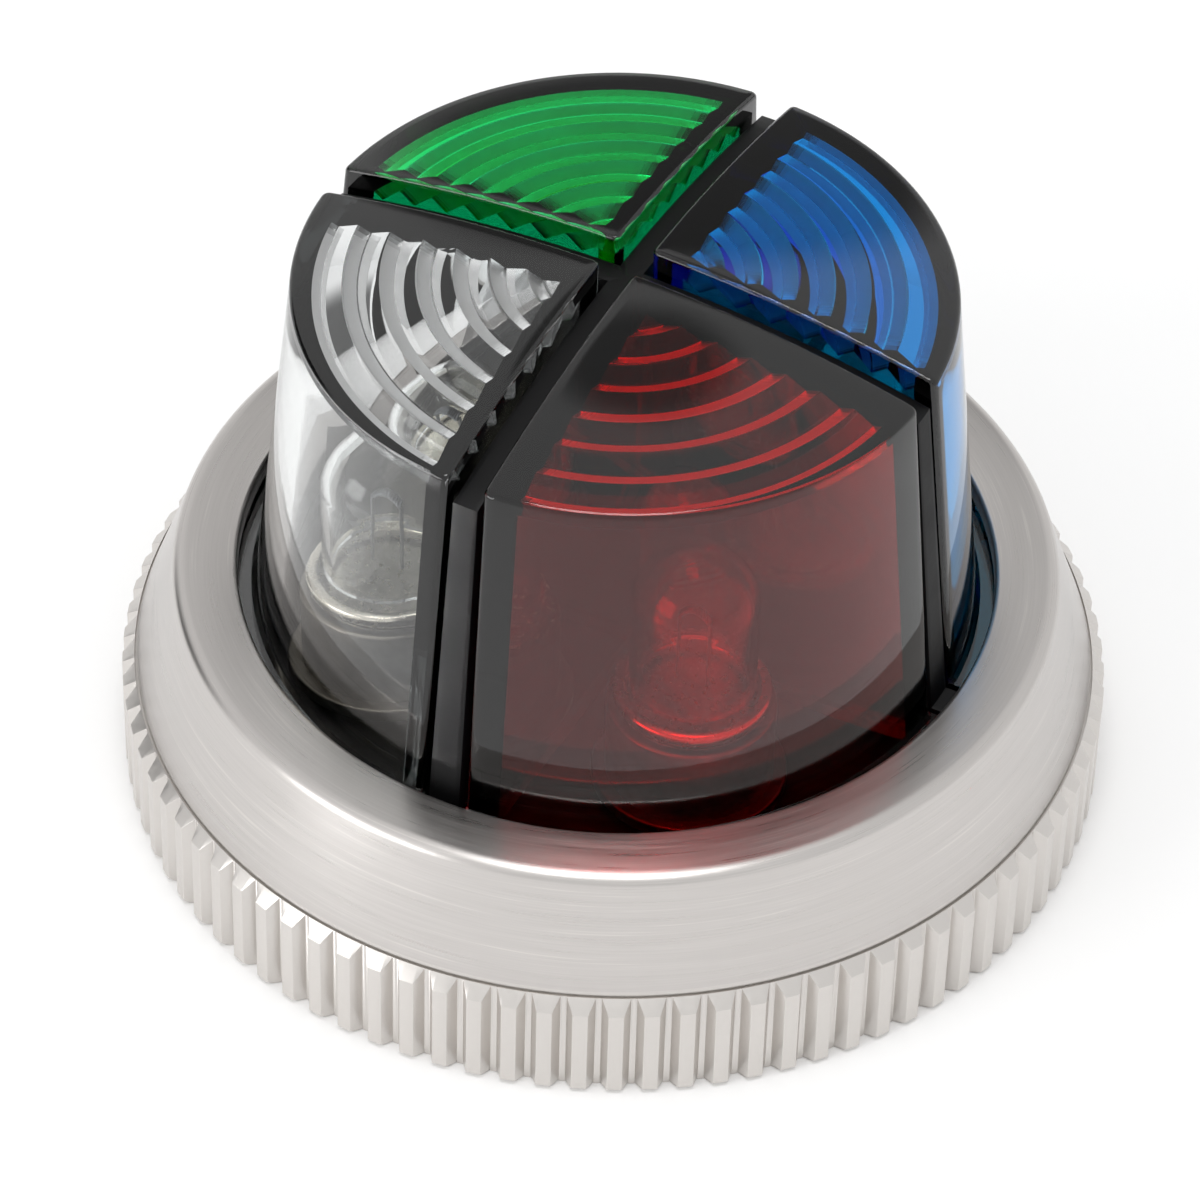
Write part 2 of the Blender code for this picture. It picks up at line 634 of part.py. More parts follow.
def make_tab(name, surface, place, turn, near_hole_r, far_hole_r):
    """A flat terminal strip with two holes, under the terminal block."""
    high = BLOCK_Z - GAP
    low = high - TAB_THICK
    half = max(near_hole_r, far_hole_r) + TAB_EDGE
    strip = block((-half, -TAB_REACH - half, low), (half, half, high))
    upright = [edge for edge in strip.edges if abs(edge.verts[0].co.z - edge.verts[1].co.z) > TAB_THICK / 2]
    bmesh.ops.bevel(strip, geom=upright, offset=half * 0.8, segments=3, profile=0.5, affect="EDGES")
    tab = finish(name, strip, surface, place, turn)
    drill(tab, near_hole_r, low - GAP, high + GAP, place, SCREW_ROUND)
    far = Vector(place) + Matrix.Rotation(math.radians(turn), 2) @ Vector((0, -TAB_REACH))
    drill(tab, far_hole_r, low - GAP, high + GAP, far, SCREW_ROUND)
    return tab


def make_terminals(tab_surface, screw_surface):
    tab_low = BLOCK_Z - GAP - TAB_THICK
    depth = BLOCK_TOP_Z - 3 * GAP - tab_low
    for colour, angle in QUADRANTS.items():
        place = lamp_place(angle)
        make_tab(f"terminal_tab_{colour}", tab_surface, place, angle, PLUNGER_STEM_R + GAP, SCREW_R + GAP)
        make_screw(f"terminal_screw_{colour}", screw_surface, SCREW_HEAD_R, SCREW_R, tab_low - GAP,
                   depth, tab_screw_place(angle))
    make_tab("terminal_tab_common", tab_surface, (0, 0), 0, CLAMP_SCREW_R + GAP, WIRE_HOLE_R)
    clamp_length = DECK_TOP_Z - 3 * GAP - (tab_low - GAP)
    make_screw("clamp_screw", screw_surface, CLAMP_HEAD_R, CLAMP_SCREW_R, tab_low - GAP, clamp_length, (0, 0))


def make_socket(colour, surface, place):
    """A flanged sleeve whose spigot goes down through the deck."""
    flange_high = SOCKET_FLANGE_Z + SOCKET_FLANGE_THICK
    outline = [
        (SOCKET_BORE_R, DECK_Z), (SOCKET_SPIGOT_R, DECK_Z), (SOCKET_SPIGOT_R, SOCKET_FLANGE_Z),
        (SOCKET_FLANGE_R, SOCKET_FLANGE_Z), (SOCKET_FLANGE_R, flange_high), (SOCKET_R, flange_high),
        (SOCKET_R, SOCKET_TOP_Z), (SOCKET_BORE_R, SOCKET_TOP_Z),
    ]
    return finish(f"socket_{colour}", turned(outline, SMALL_ROUND), surface, place)


def make_lamp(colour, surfaces, parent):
    """A midget flanged lamp: base with its centre button, open-based glass envelope, filament on two wires."""
    base = [
        (0, LAMP_BUTTON_Z), (LAMP_BUTTON_R, LAMP_BUTTON_Z), (LAMP_BUTTON_R, LAMP_BASE_Z),
        (LAMP_BASE_R, LAMP_BASE_Z), (LAMP_BASE_R, LAMP_FLANGE_Z), (LAMP_FLANGE_R, LAMP_FLANGE_Z),
        (LAMP_FLANGE_R, LAMP_FLANGE_TOP_Z), (0, LAMP_FLANGE_TOP_Z),
    ]
    finish(f"lamp_base_{colour}", turned(base, SMALL_ROUND, on_axis=True), surfaces["base"], parent=parent)
    foot = LAMP_FLANGE_TOP_Z + GAP
    centre_z = GLASS_TOP_Z - GLASS_R
    inner_r = GLASS_R - GLASS_WALL
    bends = [math.radians(a) for a in (0, 30, 60, 90)]
    outside = [(GLASS_R * math.cos(a), centre_z + GLASS_R * math.sin(a)) for a in bends[:-1]]
    inside = [(inner_r * math.cos(a), centre_z + inner_r * math.sin(a)) for a in bends[:-1]]
    envelope = [
        (0, GLASS_TOP_Z), *reversed(outside), (GLASS_R, foot), (inner_r, foot),
        *inside, (0, centre_z + inner_r),
    ]
    finish(f"lamp_glass_{colour}", turned(envelope, SMALL_ROUND, on_axis=True), surfaces["glass"], parent=parent)
    path = [(-0.6 * FILAMENT_HALF_SPAN, 0, foot), (-FILAMENT_HALF_SPAN, 0, FILAMENT_TOP_Z - FILAMENT_BOW)]
    for degrees in (-60, -30, 0, 30, 60):
        a = math.radians(degrees)
        path.append((FILAMENT_HALF_SPAN * math.sin(a), 0, FILAMENT_TOP_Z - FILAMENT_BOW * (1 - math.cos(a))))
    path += [(-x, y, z) for x, y, z in path[1::-1]]
    wire(f"lamp_filament_{colour}", path, FILAMENT_WIRE_R, surfaces["filament"], parent=parent)


def wire(name, path, radius, surface, place=(0, 0), parent=None):
    """A round wire with closed ends along a path."""
    line = bpy.data.curves.new(name, "CURVE")
    line.dimensions = "3D"
    line.bevel_depth = radius
    line.bevel_resolution = 1
    line.use_fill_caps = True
    spline = line.splines.new("POLY")
    spline.points.add(len(path) - 1)
    for point, where in zip(spline.points, path):
        point.co = (*where, 1)
    line.materials.append(surface)
    made = bpy.data.objects.new(name, line)
    bpy.context.scene.collection.objects.link(made)
    made.location = (place[0], place[1], 0)
    made.parent = parent
    return made


def make_plunger(colour, surface, parent):
    """The sprung centre contact: a round head under the lamp's button and a stem down through the block."""
    head_low = PLUNGER_TOP_Z - PLUNGER_HEAD
    outline = [
        (0, PLUNGER_FOOT_Z), (PLUNGER_STEM_R, PLUNGER_FOOT_Z), (PLUNGER_STEM_R, head_low),
        (PLUNGER_HEAD_R, head_low), (PLUNGER_HEAD_R, PLUNGER_TOP_Z), (0, PLUNGER_TOP_Z),
    ]
    return finish(f"plunger_{colour}", turned(outline, SCREW_ROUND, on_axis=True), surface, parent=parent)


def make_spring(colour, surface, place):
    """The coil spring round the plunger's stem, between the block and the plunger's head."""
    low = BLOCK_TOP_Z + GAP + SPRING_WIRE_R
    high = PLUNGER_TOP_Z - PLUNGER_HEAD - GAP - SPRING_WIRE_R
    steps = round(SPRING_TURNS * SPRING_ROUND)
    path = []
    for i in range(steps + 1):
        turn = math.tau * i / SPRING_ROUND
        rise = low + (high - low) * i / steps
        path.append((SPRING_COIL_R * math.cos(turn), SPRING_COIL_R * math.sin(turn), rise))
    return wire(f"spring_{colour}", path, SPRING_WIRE_R, surface, place)


def make_pin(surface):
    """The pin that stops the caps turning with the ring: it stands in the housing and enters one cap's flange."""
    low = BODY_TOP_Z - PIN_HOLE_DEPTH + GAP / 2
    high = LENS_BASE_Z + PIN_HOLE_DEPTH - GAP / 2
    return finish("locating_pin", disc(PIN_R, low, high, SCREW_ROUND), surface, pin_place())


def empty_at(name, place=(0, 0)):
    made = bpy.data.objects.new(name, None)
    bpy.context.scene.collection.objects.link(made)
    made.location = (place[0], place[1], 0)
    return made


def main():
    clear_scene()
    aluminium = make_material("turned_aluminium", (0.78, 0.77, 0.75), 0.32, 1.0)
    phenolic = make_material("black_phenolic", (0.015, 0.015, 0.016), 0.45)
    nylon = make_material("black_nylon", (0.012, 0.012, 0.013), 0.4)
    brass = make_material("nickelled_brass", (0.72, 0.68, 0.6), 0.28, 1.0)
    steel = make_material("zinc_plated_steel", (0.62, 0.63, 0.64), 0.35, 1.0)
    spring_steel = make_material("spring_steel", (0.3, 0.3, 0.31), 0.35, 1.0)
    rubber = make_material("black_rubber", (0.02, 0.02, 0.02), 0.8)
    glass = make_material("lamp_glass", (0.95, 0.96, 0.95), 0.02, 0.0, 1.0)
    tungsten = make_material("tungsten_wire", (0.35, 0.34, 0.33), 0.4, 1.0)
    lens_colours = {
        "red": (0.55, 0.02, 0.02), "blue": (0.0, 0.07, 0.45),
        "green": (0.0, 0.35, 0.07), "clear": (0.93, 0.94, 0.93),
    }
    lens_surfaces = {
        colour: make_material(f"polycarbonate_{colour}", shade, 0.05, 0.0, 1.0)
        for colour, shade in lens_colours.items()
    }
    cap = empty_at("cap_axis")
    ring = make_bezel_ring(aluminium)
    ring.parent = cap
    retainer_r = THREAD_ROOT_R + SNAP_RING_DEPTH
    retainer = make_snap_ring("lens_retainer", retainer_r, RETAINER_WIDTH, RETAINER_Z, spring_steel, turn=-90)
    retainer.parent = cap
    make_lenses(lens_surfaces, cap)
    make_light_divider(nylon, cap)
    make_threaded_body(aluminium)
    make_gasket(rubber)
    make_pin(steel)
    make_lamp_deck(phenolic)
    make_common_plate(brass)
    make_terminal_block(phenolic)
    snap_low = BLOCK_Z - GAP - SNAP_RING_THICK
    snap_r = BODY_BORE_R + SNAP_RING_DEPTH - GAP
    make_snap_ring("block_snap_ring", snap_r, SNAP_RING_WIDTH, snap_low, spring_steel, turn=90)
    make_terminals(brass, steel)
    for colour, angle in QUADRANTS.items():
        place = lamp_place(angle)
        make_socket(colour, brass, place)
        make_spring(colour, spring_steel, place)
        lamp = empty_at(f"lamp_axis_{colour}", place)
        make_lamp(colour, {"base": brass, "glass": glass, "filament": tungsten}, lamp)
        make_plunger(colour, brass, empty_at(f"plunger_axis_{colour}", place))


main()
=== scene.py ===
"""The finished look of the four-lamp cluster indicator light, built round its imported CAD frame.

A knurled aluminium screw ring clamps four coloured polycarbonate caps and the black cross
between them over four small flanged lamps, which stand in a threaded aluminium barrel.
Metres, +Z up, the origin under the middle of the ring. The grooves between the caps lie along X and Y.
"""

import functools
import math

import bmesh
import bpy
from mathutils import Matrix, Vector


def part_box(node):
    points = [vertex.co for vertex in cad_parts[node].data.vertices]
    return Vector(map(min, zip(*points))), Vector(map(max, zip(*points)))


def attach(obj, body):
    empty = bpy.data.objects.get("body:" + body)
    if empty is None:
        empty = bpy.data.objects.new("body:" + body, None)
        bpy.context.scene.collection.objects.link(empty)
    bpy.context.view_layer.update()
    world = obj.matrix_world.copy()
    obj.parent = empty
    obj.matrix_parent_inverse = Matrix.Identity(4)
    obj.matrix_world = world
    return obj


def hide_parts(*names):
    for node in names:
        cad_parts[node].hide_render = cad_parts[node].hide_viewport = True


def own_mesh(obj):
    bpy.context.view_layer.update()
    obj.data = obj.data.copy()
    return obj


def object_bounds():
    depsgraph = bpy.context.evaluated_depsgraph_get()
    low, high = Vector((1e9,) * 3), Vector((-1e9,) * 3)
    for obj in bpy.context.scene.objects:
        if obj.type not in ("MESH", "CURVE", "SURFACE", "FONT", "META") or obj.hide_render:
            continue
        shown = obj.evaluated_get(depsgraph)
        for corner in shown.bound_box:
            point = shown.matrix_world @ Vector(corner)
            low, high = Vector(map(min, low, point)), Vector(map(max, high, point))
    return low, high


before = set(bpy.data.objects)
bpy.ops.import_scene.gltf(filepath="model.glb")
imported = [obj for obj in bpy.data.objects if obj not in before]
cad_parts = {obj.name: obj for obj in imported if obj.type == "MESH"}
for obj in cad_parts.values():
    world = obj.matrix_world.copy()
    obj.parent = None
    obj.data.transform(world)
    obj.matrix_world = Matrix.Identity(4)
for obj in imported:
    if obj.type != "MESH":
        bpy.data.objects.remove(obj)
cad_low, cad_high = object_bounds()

QUADRANTS = {"red": -45, "blue": 45, "green": 135, "clear": -135}

# How finely the pieces are made.
ROUND = 240
SMALL_ROUND = 64
SCREW_ROUND = 48
TAB_HOLE_ROUND = 40
HOLE_ROUND = 32
PIN_HOLE_ROUND = 24
SHARP_ANGLE = 32            # degrees: an edge bent more than this stays crisp
EDGE_STEPS = 3              # flats that make up one rounded edge
SIDE_STEPS = 30             # along a cap's straight side in plan
CORNER_STEPS = 6            # round one of its upright corners, and over its top edge
ARC_STEPS = 72              # along its outer arc
WALL_ROWS = 12
TOP_ROWS = 16
CEILING_ROWS = 150
CEILING_STEPS = 48

# Heights and radii that the frame gives.
GAP = 0.0003                # clearance between neighbours
RIM_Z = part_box("bezel_ring")[1].z
LENS_BASE_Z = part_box("lens_blue")[0].z
FLANGE_R = 0.0199

# The caps.
LENS_BASE_R = 0.01714
LENS_RIM_R = 0.0152
LENS_RIM_Z = 0.02855
LENS_TOP_Z = 0.03035
LENS_WALL = 0.0013
FLANGE_TOP_Z = LENS_BASE_Z + 0.0009
GROOVE_HALF_TOP = 0.00083
GROOVE_HALF_BASE = 0.00108
CAP_EDGE = 0.00022          # rounding of a cap's top edges
CAP_CORNER = 0.00034        # rounding of its upright corners
FLANGE_EDGE = 0.0001
PRISM_PITCH = 0.00165
PRISM_DEPTH = 0.0007
PRISM_FIRST_R = 0.0037
PRISM_STEEP_SHARE = 0.45    # of the pitch, on a ridge's steep side
FROST_INSET = 0.0008        # the frost fades out this near the side walls

DIVIDER_HALF_TOP = 0.00058
DIVIDER_HALF_BASE = 0.00078
DIVIDER_DROP = 0.0013
DIVIDER_SET_BACK = 0.0001
DIVIDER_EDGE = 0.00008

# The threads, which the ring and the barrel share.
THREAD_PITCH = 0.0015
THREAD_TURNS = 3
THREAD_HEIGHT = 0.00055
THREAD_BASE = 0.0009
THREAD_CREST = 0.00035
THREAD_START_Z = 0.0009
THREAD_FADE = 0.2           # of a turn, at each end

# The screw ring.
RING_CREST_R = 0.0235
KNURL_ROOT_R = 0.0229
KNURL_TEETH = 90
KNURL_CREST_SHARE = 0.42
KNURL_ROOT_SHARE = 0.18
KNURL_HEIGHT = 0.0058
KNURL_FOOT_CHAMFER = 0.00025
KNURL_EDGE = 0.00006        # rounding along a tooth's crest
KNURL_FILLET = 0.00005      # and in the root between two teeth
KNURL_EASE = 0.0001         # a point this proud takes all of the rounding at the teeth's ends
# The rows that round the teeth's upper ends: how far in and up each lies, in shares of KNURL_EDGE.
KNURL_END_ROWS = ((0.435, 0.435), (0.076, -0.031), (0, -0.615))
SHOULDER_LAND = 0.00012
SHOULDER_GROOVE = 0.00018   # a fine undercut where the shoulder meets the knurl
SHOULDER_TOP_R = 0.0210
SHOULDER_TOP_Z = RIM_Z - 0.00055
RIM_FLAT_R = 0.0203
RING_BORE_R = 0.0203
LIP_CLEARANCE = 0.00097
LIP_CHAMFER = 0.00025
LIP_UNDER_Z = RIM_Z - 0.00095
RETAINER_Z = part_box("lens_retainer")[0].z
SNAP_RING_THICK = 0.0006
SNAP_RING_DEPTH = 0.0005
SNAP_RING_WIDTH = 0.0019
SNAP_RING_EDGE = 0.00008
RETAINER_WIDTH = 0.0013
RING_GAP_ANGLE = 16

# The barrel and what stands in it.
BODY_TOP_Z = 0.0079
BODY_LAND_Z = 0.0083
BODY_LIP_UNDER_Z = 0.0070
THREAD_ROOT_R = 0.0200
BODY_BORE_R = 0.0184
BODY_LIP_R = 0.0169
BODY_LAND_R = 0.0179
SEAL_EDGE = 0.00015
BLOCK_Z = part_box("terminal_block")[0].z
BLOCK_TOP_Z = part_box("terminal_block")[1].z
DECK_Z, DECK_TOP_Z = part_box("lamp_deck")[0].z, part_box("lamp_deck")[1].z
DECK_STEP_Z = DECK_Z + 0.0008
PLATE_Z, PLATE_TOP_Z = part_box("common_plate")[0].z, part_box("common_plate")[1].z
SOCKET_BORE_R = 0.0031
SOCKET_R = 0.0038
SOCKET_FLANGE_R = 0.0044
SOCKET_SPIGOT_R = 0.0035
SOCKET_FLANGE_THICK = 0.0007
LAMP_BASE_R = 0.00275
LAMP_FLANGE_R = 0.00355
LAMP_BUTTON_R = 0.0010
LAMP_BUTTON_DROP = 0.0007
LAMP_FLANGE_THICK = 0.0007
LAMP_FLANGE_BAND = 0.0005   # the rolled band round the glass
LAMP_DISH = 0.0003          # depth of the flange inside the band
FILAMENT_COIL_R = 0.00016
FILAMENT_WIRE_R = 0.00009
FILAMENT_TURNS = 13
FILAMENT_BOW = 0.0008       # how far the coil's crown stands over its hooks
GLASS_R = 0.00285
GLASS_WALL = 0.00035
PLUNGER_HEAD_R = 0.0021
PLUNGER_STEM_R = 0.0007
PLUNGER_HEAD_THICK = 0.0006
SPRING_COIL_R = 0.0014
SPRING_WIRE_R = 0.00018
SPRING_TURNS = 2.25
SCREW_R = 0.0011
SCREW_HEAD_R = 0.0021
SCREW_HEAD = 0.0013
CLAMP_SCREW_R = 0.0015
CLAMP_HEAD_R = 0.0027
SLOT_WIDTH = 0.0006
SLOT_DEPTH = 0.0006
SLOT_TURN = 30
TAB_REACH = 0.0062
TAB_EDGE = 0.0006
TAB_THICK = 0.0006
WIRE_HOLE_R = 0.0011


# ---- finishes ----

MULTIPLY = {"operation": "MULTIPLY"}
FLOATS = {"data_type": "FLOAT"}
NOISE_SPAN = {"From_Min": 0.3, "From_Max": 0.7}     # where most of a noise's values lie


def linear(hex_colour, alpha=1.0):
    """An sRGB hex colour as the linear values that a shader takes."""
    parts = [int(hex_colour[i:i + 2], 16) / 255 for i in (1, 3, 5)]
    return (*[p / 12.92 if p <= 0.04045 else ((p + 0.055) / 1.055) ** 2.4 for p in parts], alpha)


def node(tree, kind, settings=None, **inputs):
    """Adds one shader node with its settings, and fills or links its inputs (in0, in1 by place).

    The setting "stops" gives a colour ramp its (position, hex) pairs, and a node given as an input
    links its first output."""
    made = tree.nodes.new("ShaderNode" + kind)
    settings = dict(settings or {})
    for i, (position, colour) in enumerate(settings.pop("stops", ())):
        stops = made.color_ramp.elements
        stop = stops[i] if i < len(stops) else stops.new(position)
        stop.position = position
        stop.color = linear(colour)
    for name, value in settings.items():
        setattr(made, name, value)
    for name, value in inputs.items():
        by_place = name[:2] == "in" and name[2:].isdigit()
        socket = made.inputs[int(name[2:]) if by_place else name.replace("_", " ")]
        if isinstance(value, bpy.types.Node):
            value = value.outputs[0]
        if isinstance(value, bpy.types.NodeSocket):
            tree.links.new(value, socket)
        else:
            socket.default_value = value
    return made


def new_finish(name):
    """An empty material, what adds a node to it, and the piece's own coordinates."""
    made = bpy.data.materials.new(name)
    made.use_nodes = True
    made.node_tree.nodes.clear()
    add = functools.partial(node, made.node_tree)
    return made, add, add("TexCoord").outputs["Object"]


def turned_aluminium(slot):
    """Bright turned aluminium: fine rings of the lathe tool catch the light in streaks that run round
    the shoulder, and the knurled band below is a plain satin cut."""
    made, add, place = new_finish(slot)
    parts = add("SeparateXYZ", Vector=place).outputs
    flat = add("VectorMath", MULTIPLY, in0=place, in1=(1, 1, 0))
    radius = add("VectorMath", {"operation": "LENGTH"}, in0=flat).outputs["Value"]
    turn = add("Math", {"operation": "ARCTAN2"}, in0=parts["Y"], in1=parts["X"])
    across = add("Math", {"operation": "SUBTRACT"}, in0=radius, in1=parts["Z"])
    feed = 0.00011  # the tool's feed, drawn as coarse as it needs to show
    rows = add("Math", MULTIPLY, in0=across, in1=1 / feed)
    along = add("Math", MULTIPLY, in0=turn, in1=2.2)
    rings = add("CombineXYZ", X=rows, Y=along)
    tool = add("TexNoise", Vector=rings, Scale=1.0, Detail=3.0, Roughness=0.65)
    coarse_rings = add("VectorMath", MULTIPLY, in0=rings, in1=(0.17, 1.0, 1.0))
    drift = add("TexNoise", Vector=coarse_rings, Scale=1.0, Detail=2.0, Roughness=0.5)
    both = add("Math", {"operation": "MULTIPLY_ADD"}, in0=drift, in1=0.6, in2=tool)
    grain = add("TexNoise", Vector=place, Scale=1 / 0.0003, Detail=3.0, Roughness=0.6)
    over_knurl = add("MapRange", Value=parts["Z"], From_Min=KNURL_HEIGHT + 0.0001,
                     From_Max=KNURL_HEIGHT + 0.0003, To_Min=0.0, To_Max=1.0)
    height = add("Mix", FLOATS, in0=over_knurl, in2=grain, in3=both)
    shine = add("MapRange", Value=both, From_Min=0.6, From_Max=1.0, To_Min=0.27, To_Max=0.34)
    satin = add("MapRange", Value=grain, **NOISE_SPAN, To_Min=0.30, To_Max=0.40)
    tone = add("Mix", FLOATS, in0=over_knurl, in2=1.3, in3=both)
    greys = {"stops": ((0.6, "#c6c2bf"), (0.95, "#cecac7"), (1.0, "#d6d2ce"))}
    shader = add(
        "BsdfPrincipled", Metallic=1.0, Anisotropic=0.6, Anisotropic_Rotation=0.25,
        Base_Color=add("ValToRGB", greys, Fac=tone),
        Roughness=add("Mix", FLOATS, in0=over_knurl, in2=satin, in3=shine),
        Tangent=add("Tangent", {"direction_type": "RADIAL", "axis": "Z"}),
        Normal=add("Bump", Strength=0.11, Distance=0.000008, Height=height),
    )
    add("OutputMaterial", Surface=shader)
    return made, slot


def plain_metal(slot, low, high, smooth, rough, grain_mm, name=None):
    """A plain bright metal: plating or bare wire, with small changes of tone and gloss that show it was
    handled."""
    made, add, place = new_finish(name or slot)
    blotch = add("TexNoise", Vector=place, Scale=1000 / 1.8, Detail=3.0)
    grain = add("TexNoise", Vector=place, Scale=1000 / grain_mm, Detail=2.0, Roughness=0.6)
    shader = add(
        "BsdfPrincipled", Metallic=1.0,
        Base_Color=add("ValToRGB", {"stops": ((0.35, low), (0.65, high))}, Fac=blotch),
        Roughness=add("MapRange", Value=grain, **NOISE_SPAN, To_Min=smooth, To_Max=rough),
        Normal=add("Bump", Strength=0.25, Distance=0.00001, Height=grain),
    )
    add("OutputMaterial", Surface=shader)
    return made, slot


def polycarbonate(slot, depth_colour, density, haze, glow):
    """Clear injection-moulded polycarbonate, dyed through: thin tops pass a bright colour, and the walls
    seen edge on go nearly black. A faint ripple of the mould softens its reflections, the steep faces
    of the prisms are frosted, so that they light up as bands, and the sides in the grooves carry painted
    shade."""
    made, add, place = new_finish(slot)
    frost = add("Attribute", {"attribute_name": "frost"}).outputs["Fac"]
    side = add("Attribute", {"attribute_name": "groove_side"}).outputs["Fac"]
    ripple = add("TexNoise", Vector=place, Scale=1000 / 4.0, Detail=2.0)
    scuff = add("TexNoise", Vector=place, Scale=1000 / 1.5, Detail=2.0)
    polish = add("MapRange", Value=scuff, From_Min=0.4, From_Max=0.75, To_Min=0.01, To_Max=0.022)
    tint = add("ValToRGB", {"stops": ((0.0, "#ffffff"), (1.0, glow))}, Fac=frost)
    # The groove sides take a dark grey base colour: painted shade for the grooves between the caps.
    shader = add(
        "BsdfPrincipled", IOR=1.585,
        Base_Color=add("Mix", {"data_type": "RGBA"}, in0=side, in6=tint, in7=linear("#5e5e5e")).outputs[2],
        Transmission_Weight=add("MapRange", Value=frost, To_Min=1.0, To_Max=1.0 - haze),
        Roughness=add("Mix", FLOATS, in0=frost, in2=polish, in3=0.4),
        Normal=add("Bump", Strength=0.10, Distance=0.00006, Height=ripple),
    )
    dye = add("VolumeAbsorption", Color=linear(depth_colour), Density=density)
    add("OutputMaterial", Surface=shader, Volume=dye)
    return made, slot


def moulding(slot, low, high, smooth, rough, grain_mm, depth, gloss=0.5):
    """An opaque black moulding, with a faint mottle and the fine grain of its mould."""
    made, add, place = new_finish(slot)
    mottle = add("TexNoise", Vector=place, Scale=1000 / 2.5, Detail=4.0)
    grain = add("TexVoronoi", Vector=place, Scale=1000 / grain_mm)
    shader = add(
        "BsdfPrincipled", IOR=1.53, Specular_IOR_Level=gloss,
        Base_Color=add("ValToRGB", {"stops": ((0.3, low), (0.7, high))}, Fac=mottle),
        Roughness=add("MapRange", Value=mottle, **NOISE_SPAN, To_Min=smooth, To_Max=rough),
        Normal=add("Bump", Strength=depth, Distance=0.00002, Height=grain),
    )
    add("OutputMaterial", Surface=shader)
    return made, slot


def lamp_glass(slot):
    """Thin blown soda glass: clear, with the slow waves of a drawn tube."""
    made, add, place = new_finish(slot)
    wave = add("TexNoise", Vector=place, Scale=1000 / 1.5, Detail=1.0)
    shader = add(
        "BsdfPrincipled", Base_Color=linear("#fbfdfc"), IOR=1.5, Transmission_Weight=1.0,
        Roughness=add("MapRange", Value=wave, **NOISE_SPAN, To_Min=0.0, To_Max=0.02),
        Normal=add("Bump", Strength=0.15, Distance=0.00005, Height=wave),
    )
    add("OutputMaterial", Surface=shader)
    return made, slot


def pale_sweep():
    """A matt white paper sweep with a barely seen mottle."""
    made, add, place = new_finish("pale_sweep")
    mottle = add("TexNoise", Vector=place, Scale=30.0, Detail=2.0)
    colour = add("ValToRGB", {"stops": ((0.3, "#fbfbfb"), (0.7, "#fdfdfd"))}, Fac=mottle)
    shader = add("BsdfPrincipled", Base_Color=colour, Roughness=0.9, Specular_IOR_Level=0.2)
    add("OutputMaterial", Surface=shader)
    return made


ALUMINIUM = turned_aluminium("turned_aluminium")
NICKEL = plain_metal("nickelled_brass", "#cfc8b8", "#ddd8cc", 0.18, 0.30, 0.4)
# The sleeves' copy of the nickelled brass, in darker colours than NICKEL: painted shade for the sleeves deep
# down inside the caps.
NICKEL_PAINTED_SHADE = plain_metal("nickelled_brass", "#6f6a61", "#858078", 0.30, 0.45, 0.3, "nickel_painted_shade")
ZINC = plain_metal("zinc_plated_steel", "#b9bcc0", "#cfd1d2", 0.25, 0.42, 0.25)
SPRING_STEEL = plain_metal("spring_steel", "#8d8f93", "#a9abad", 0.25, 0.38, 0.2)
TUNGSTEN = plain_metal("tungsten_wire", "#6d6f73", "#84868a", 0.3, 0.4, 0.1)
NYLON = moulding("black_nylon", "#050506", "#09090a", 0.42, 0.52, 0.35, 0.15, gloss=0.2)
PHENOLIC = moulding("black_phenolic", "#0d0b0a", "#171412", 0.35, 0.5, 0.3, 0.06)
RUBBER = moulding("black_rubber", "#0b0b0b", "#131313", 0.6, 0.75, 0.25, 0.4)
GLASS = lamp_glass("lamp_glass")
DYES = {
    "red": polycarbonate("polycarbonate_red", "#fb4a46", 1700, 1.0, "#fff6f4"),
    "blue": polycarbonate("polycarbonate_blue", "#30effb", 2400, 0.75, "#e4f2ff"),
    "green": polycarbonate("polycarbonate_green", "#30fbe8", 2300, 0.7, "#e8fff2"),
    "clear": polycarbonate("polycarbonate_clear", "#e6eaea", 120, 0.5, "#ffffff"),
}


# ---- shapes ----

def new_object(name, data):
    """An object of the scene that shows some data."""
    made = bpy.data.objects.new(name, data)
    bpy.context.scene.collection.objects.link(made)
    return made


def piece(name, shape, finish, body, stands_for, where=(0, 0), turn=0):
    """Makes a bmesh or a mesh the shown piece for a node of the frame, riding on that node's body."""
    if isinstance(shape, bmesh.types.BMesh):
        shape = as_mesh(name, shape)
    surface, slot = finish
    made = new_object(name, shape)
    made.location = (where[0], where[1], 0)
    made.rotation_euler = (0, 0, math.radians(turn))
    shape.materials.clear()
    shape.materials.append(surface)
    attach(made, body)
    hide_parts(stands_for)
    return made


def as_mesh(name, shape):
    """Welds the bmesh, turns its normals out, and smooths all but its crisp edges."""
    bmesh.ops.remove_doubles(shape, verts=shape.verts, dist=1e-8)
    bmesh.ops.recalc_face_normals(shape, faces=shape.faces)
    mesh = bpy.data.meshes.new(name)
    shape.to_mesh(mesh)
    shape.free()
    mesh.shade_smooth()
    mesh.set_sharp_from_angle(angle=math.radians(SHARP_ANGLE))
    return mesh


def polar(r, turn):
    """A point in plan, or on a profile, at a radius and an angle."""
    return (r * math.cos(turn), r * math.sin(turn))


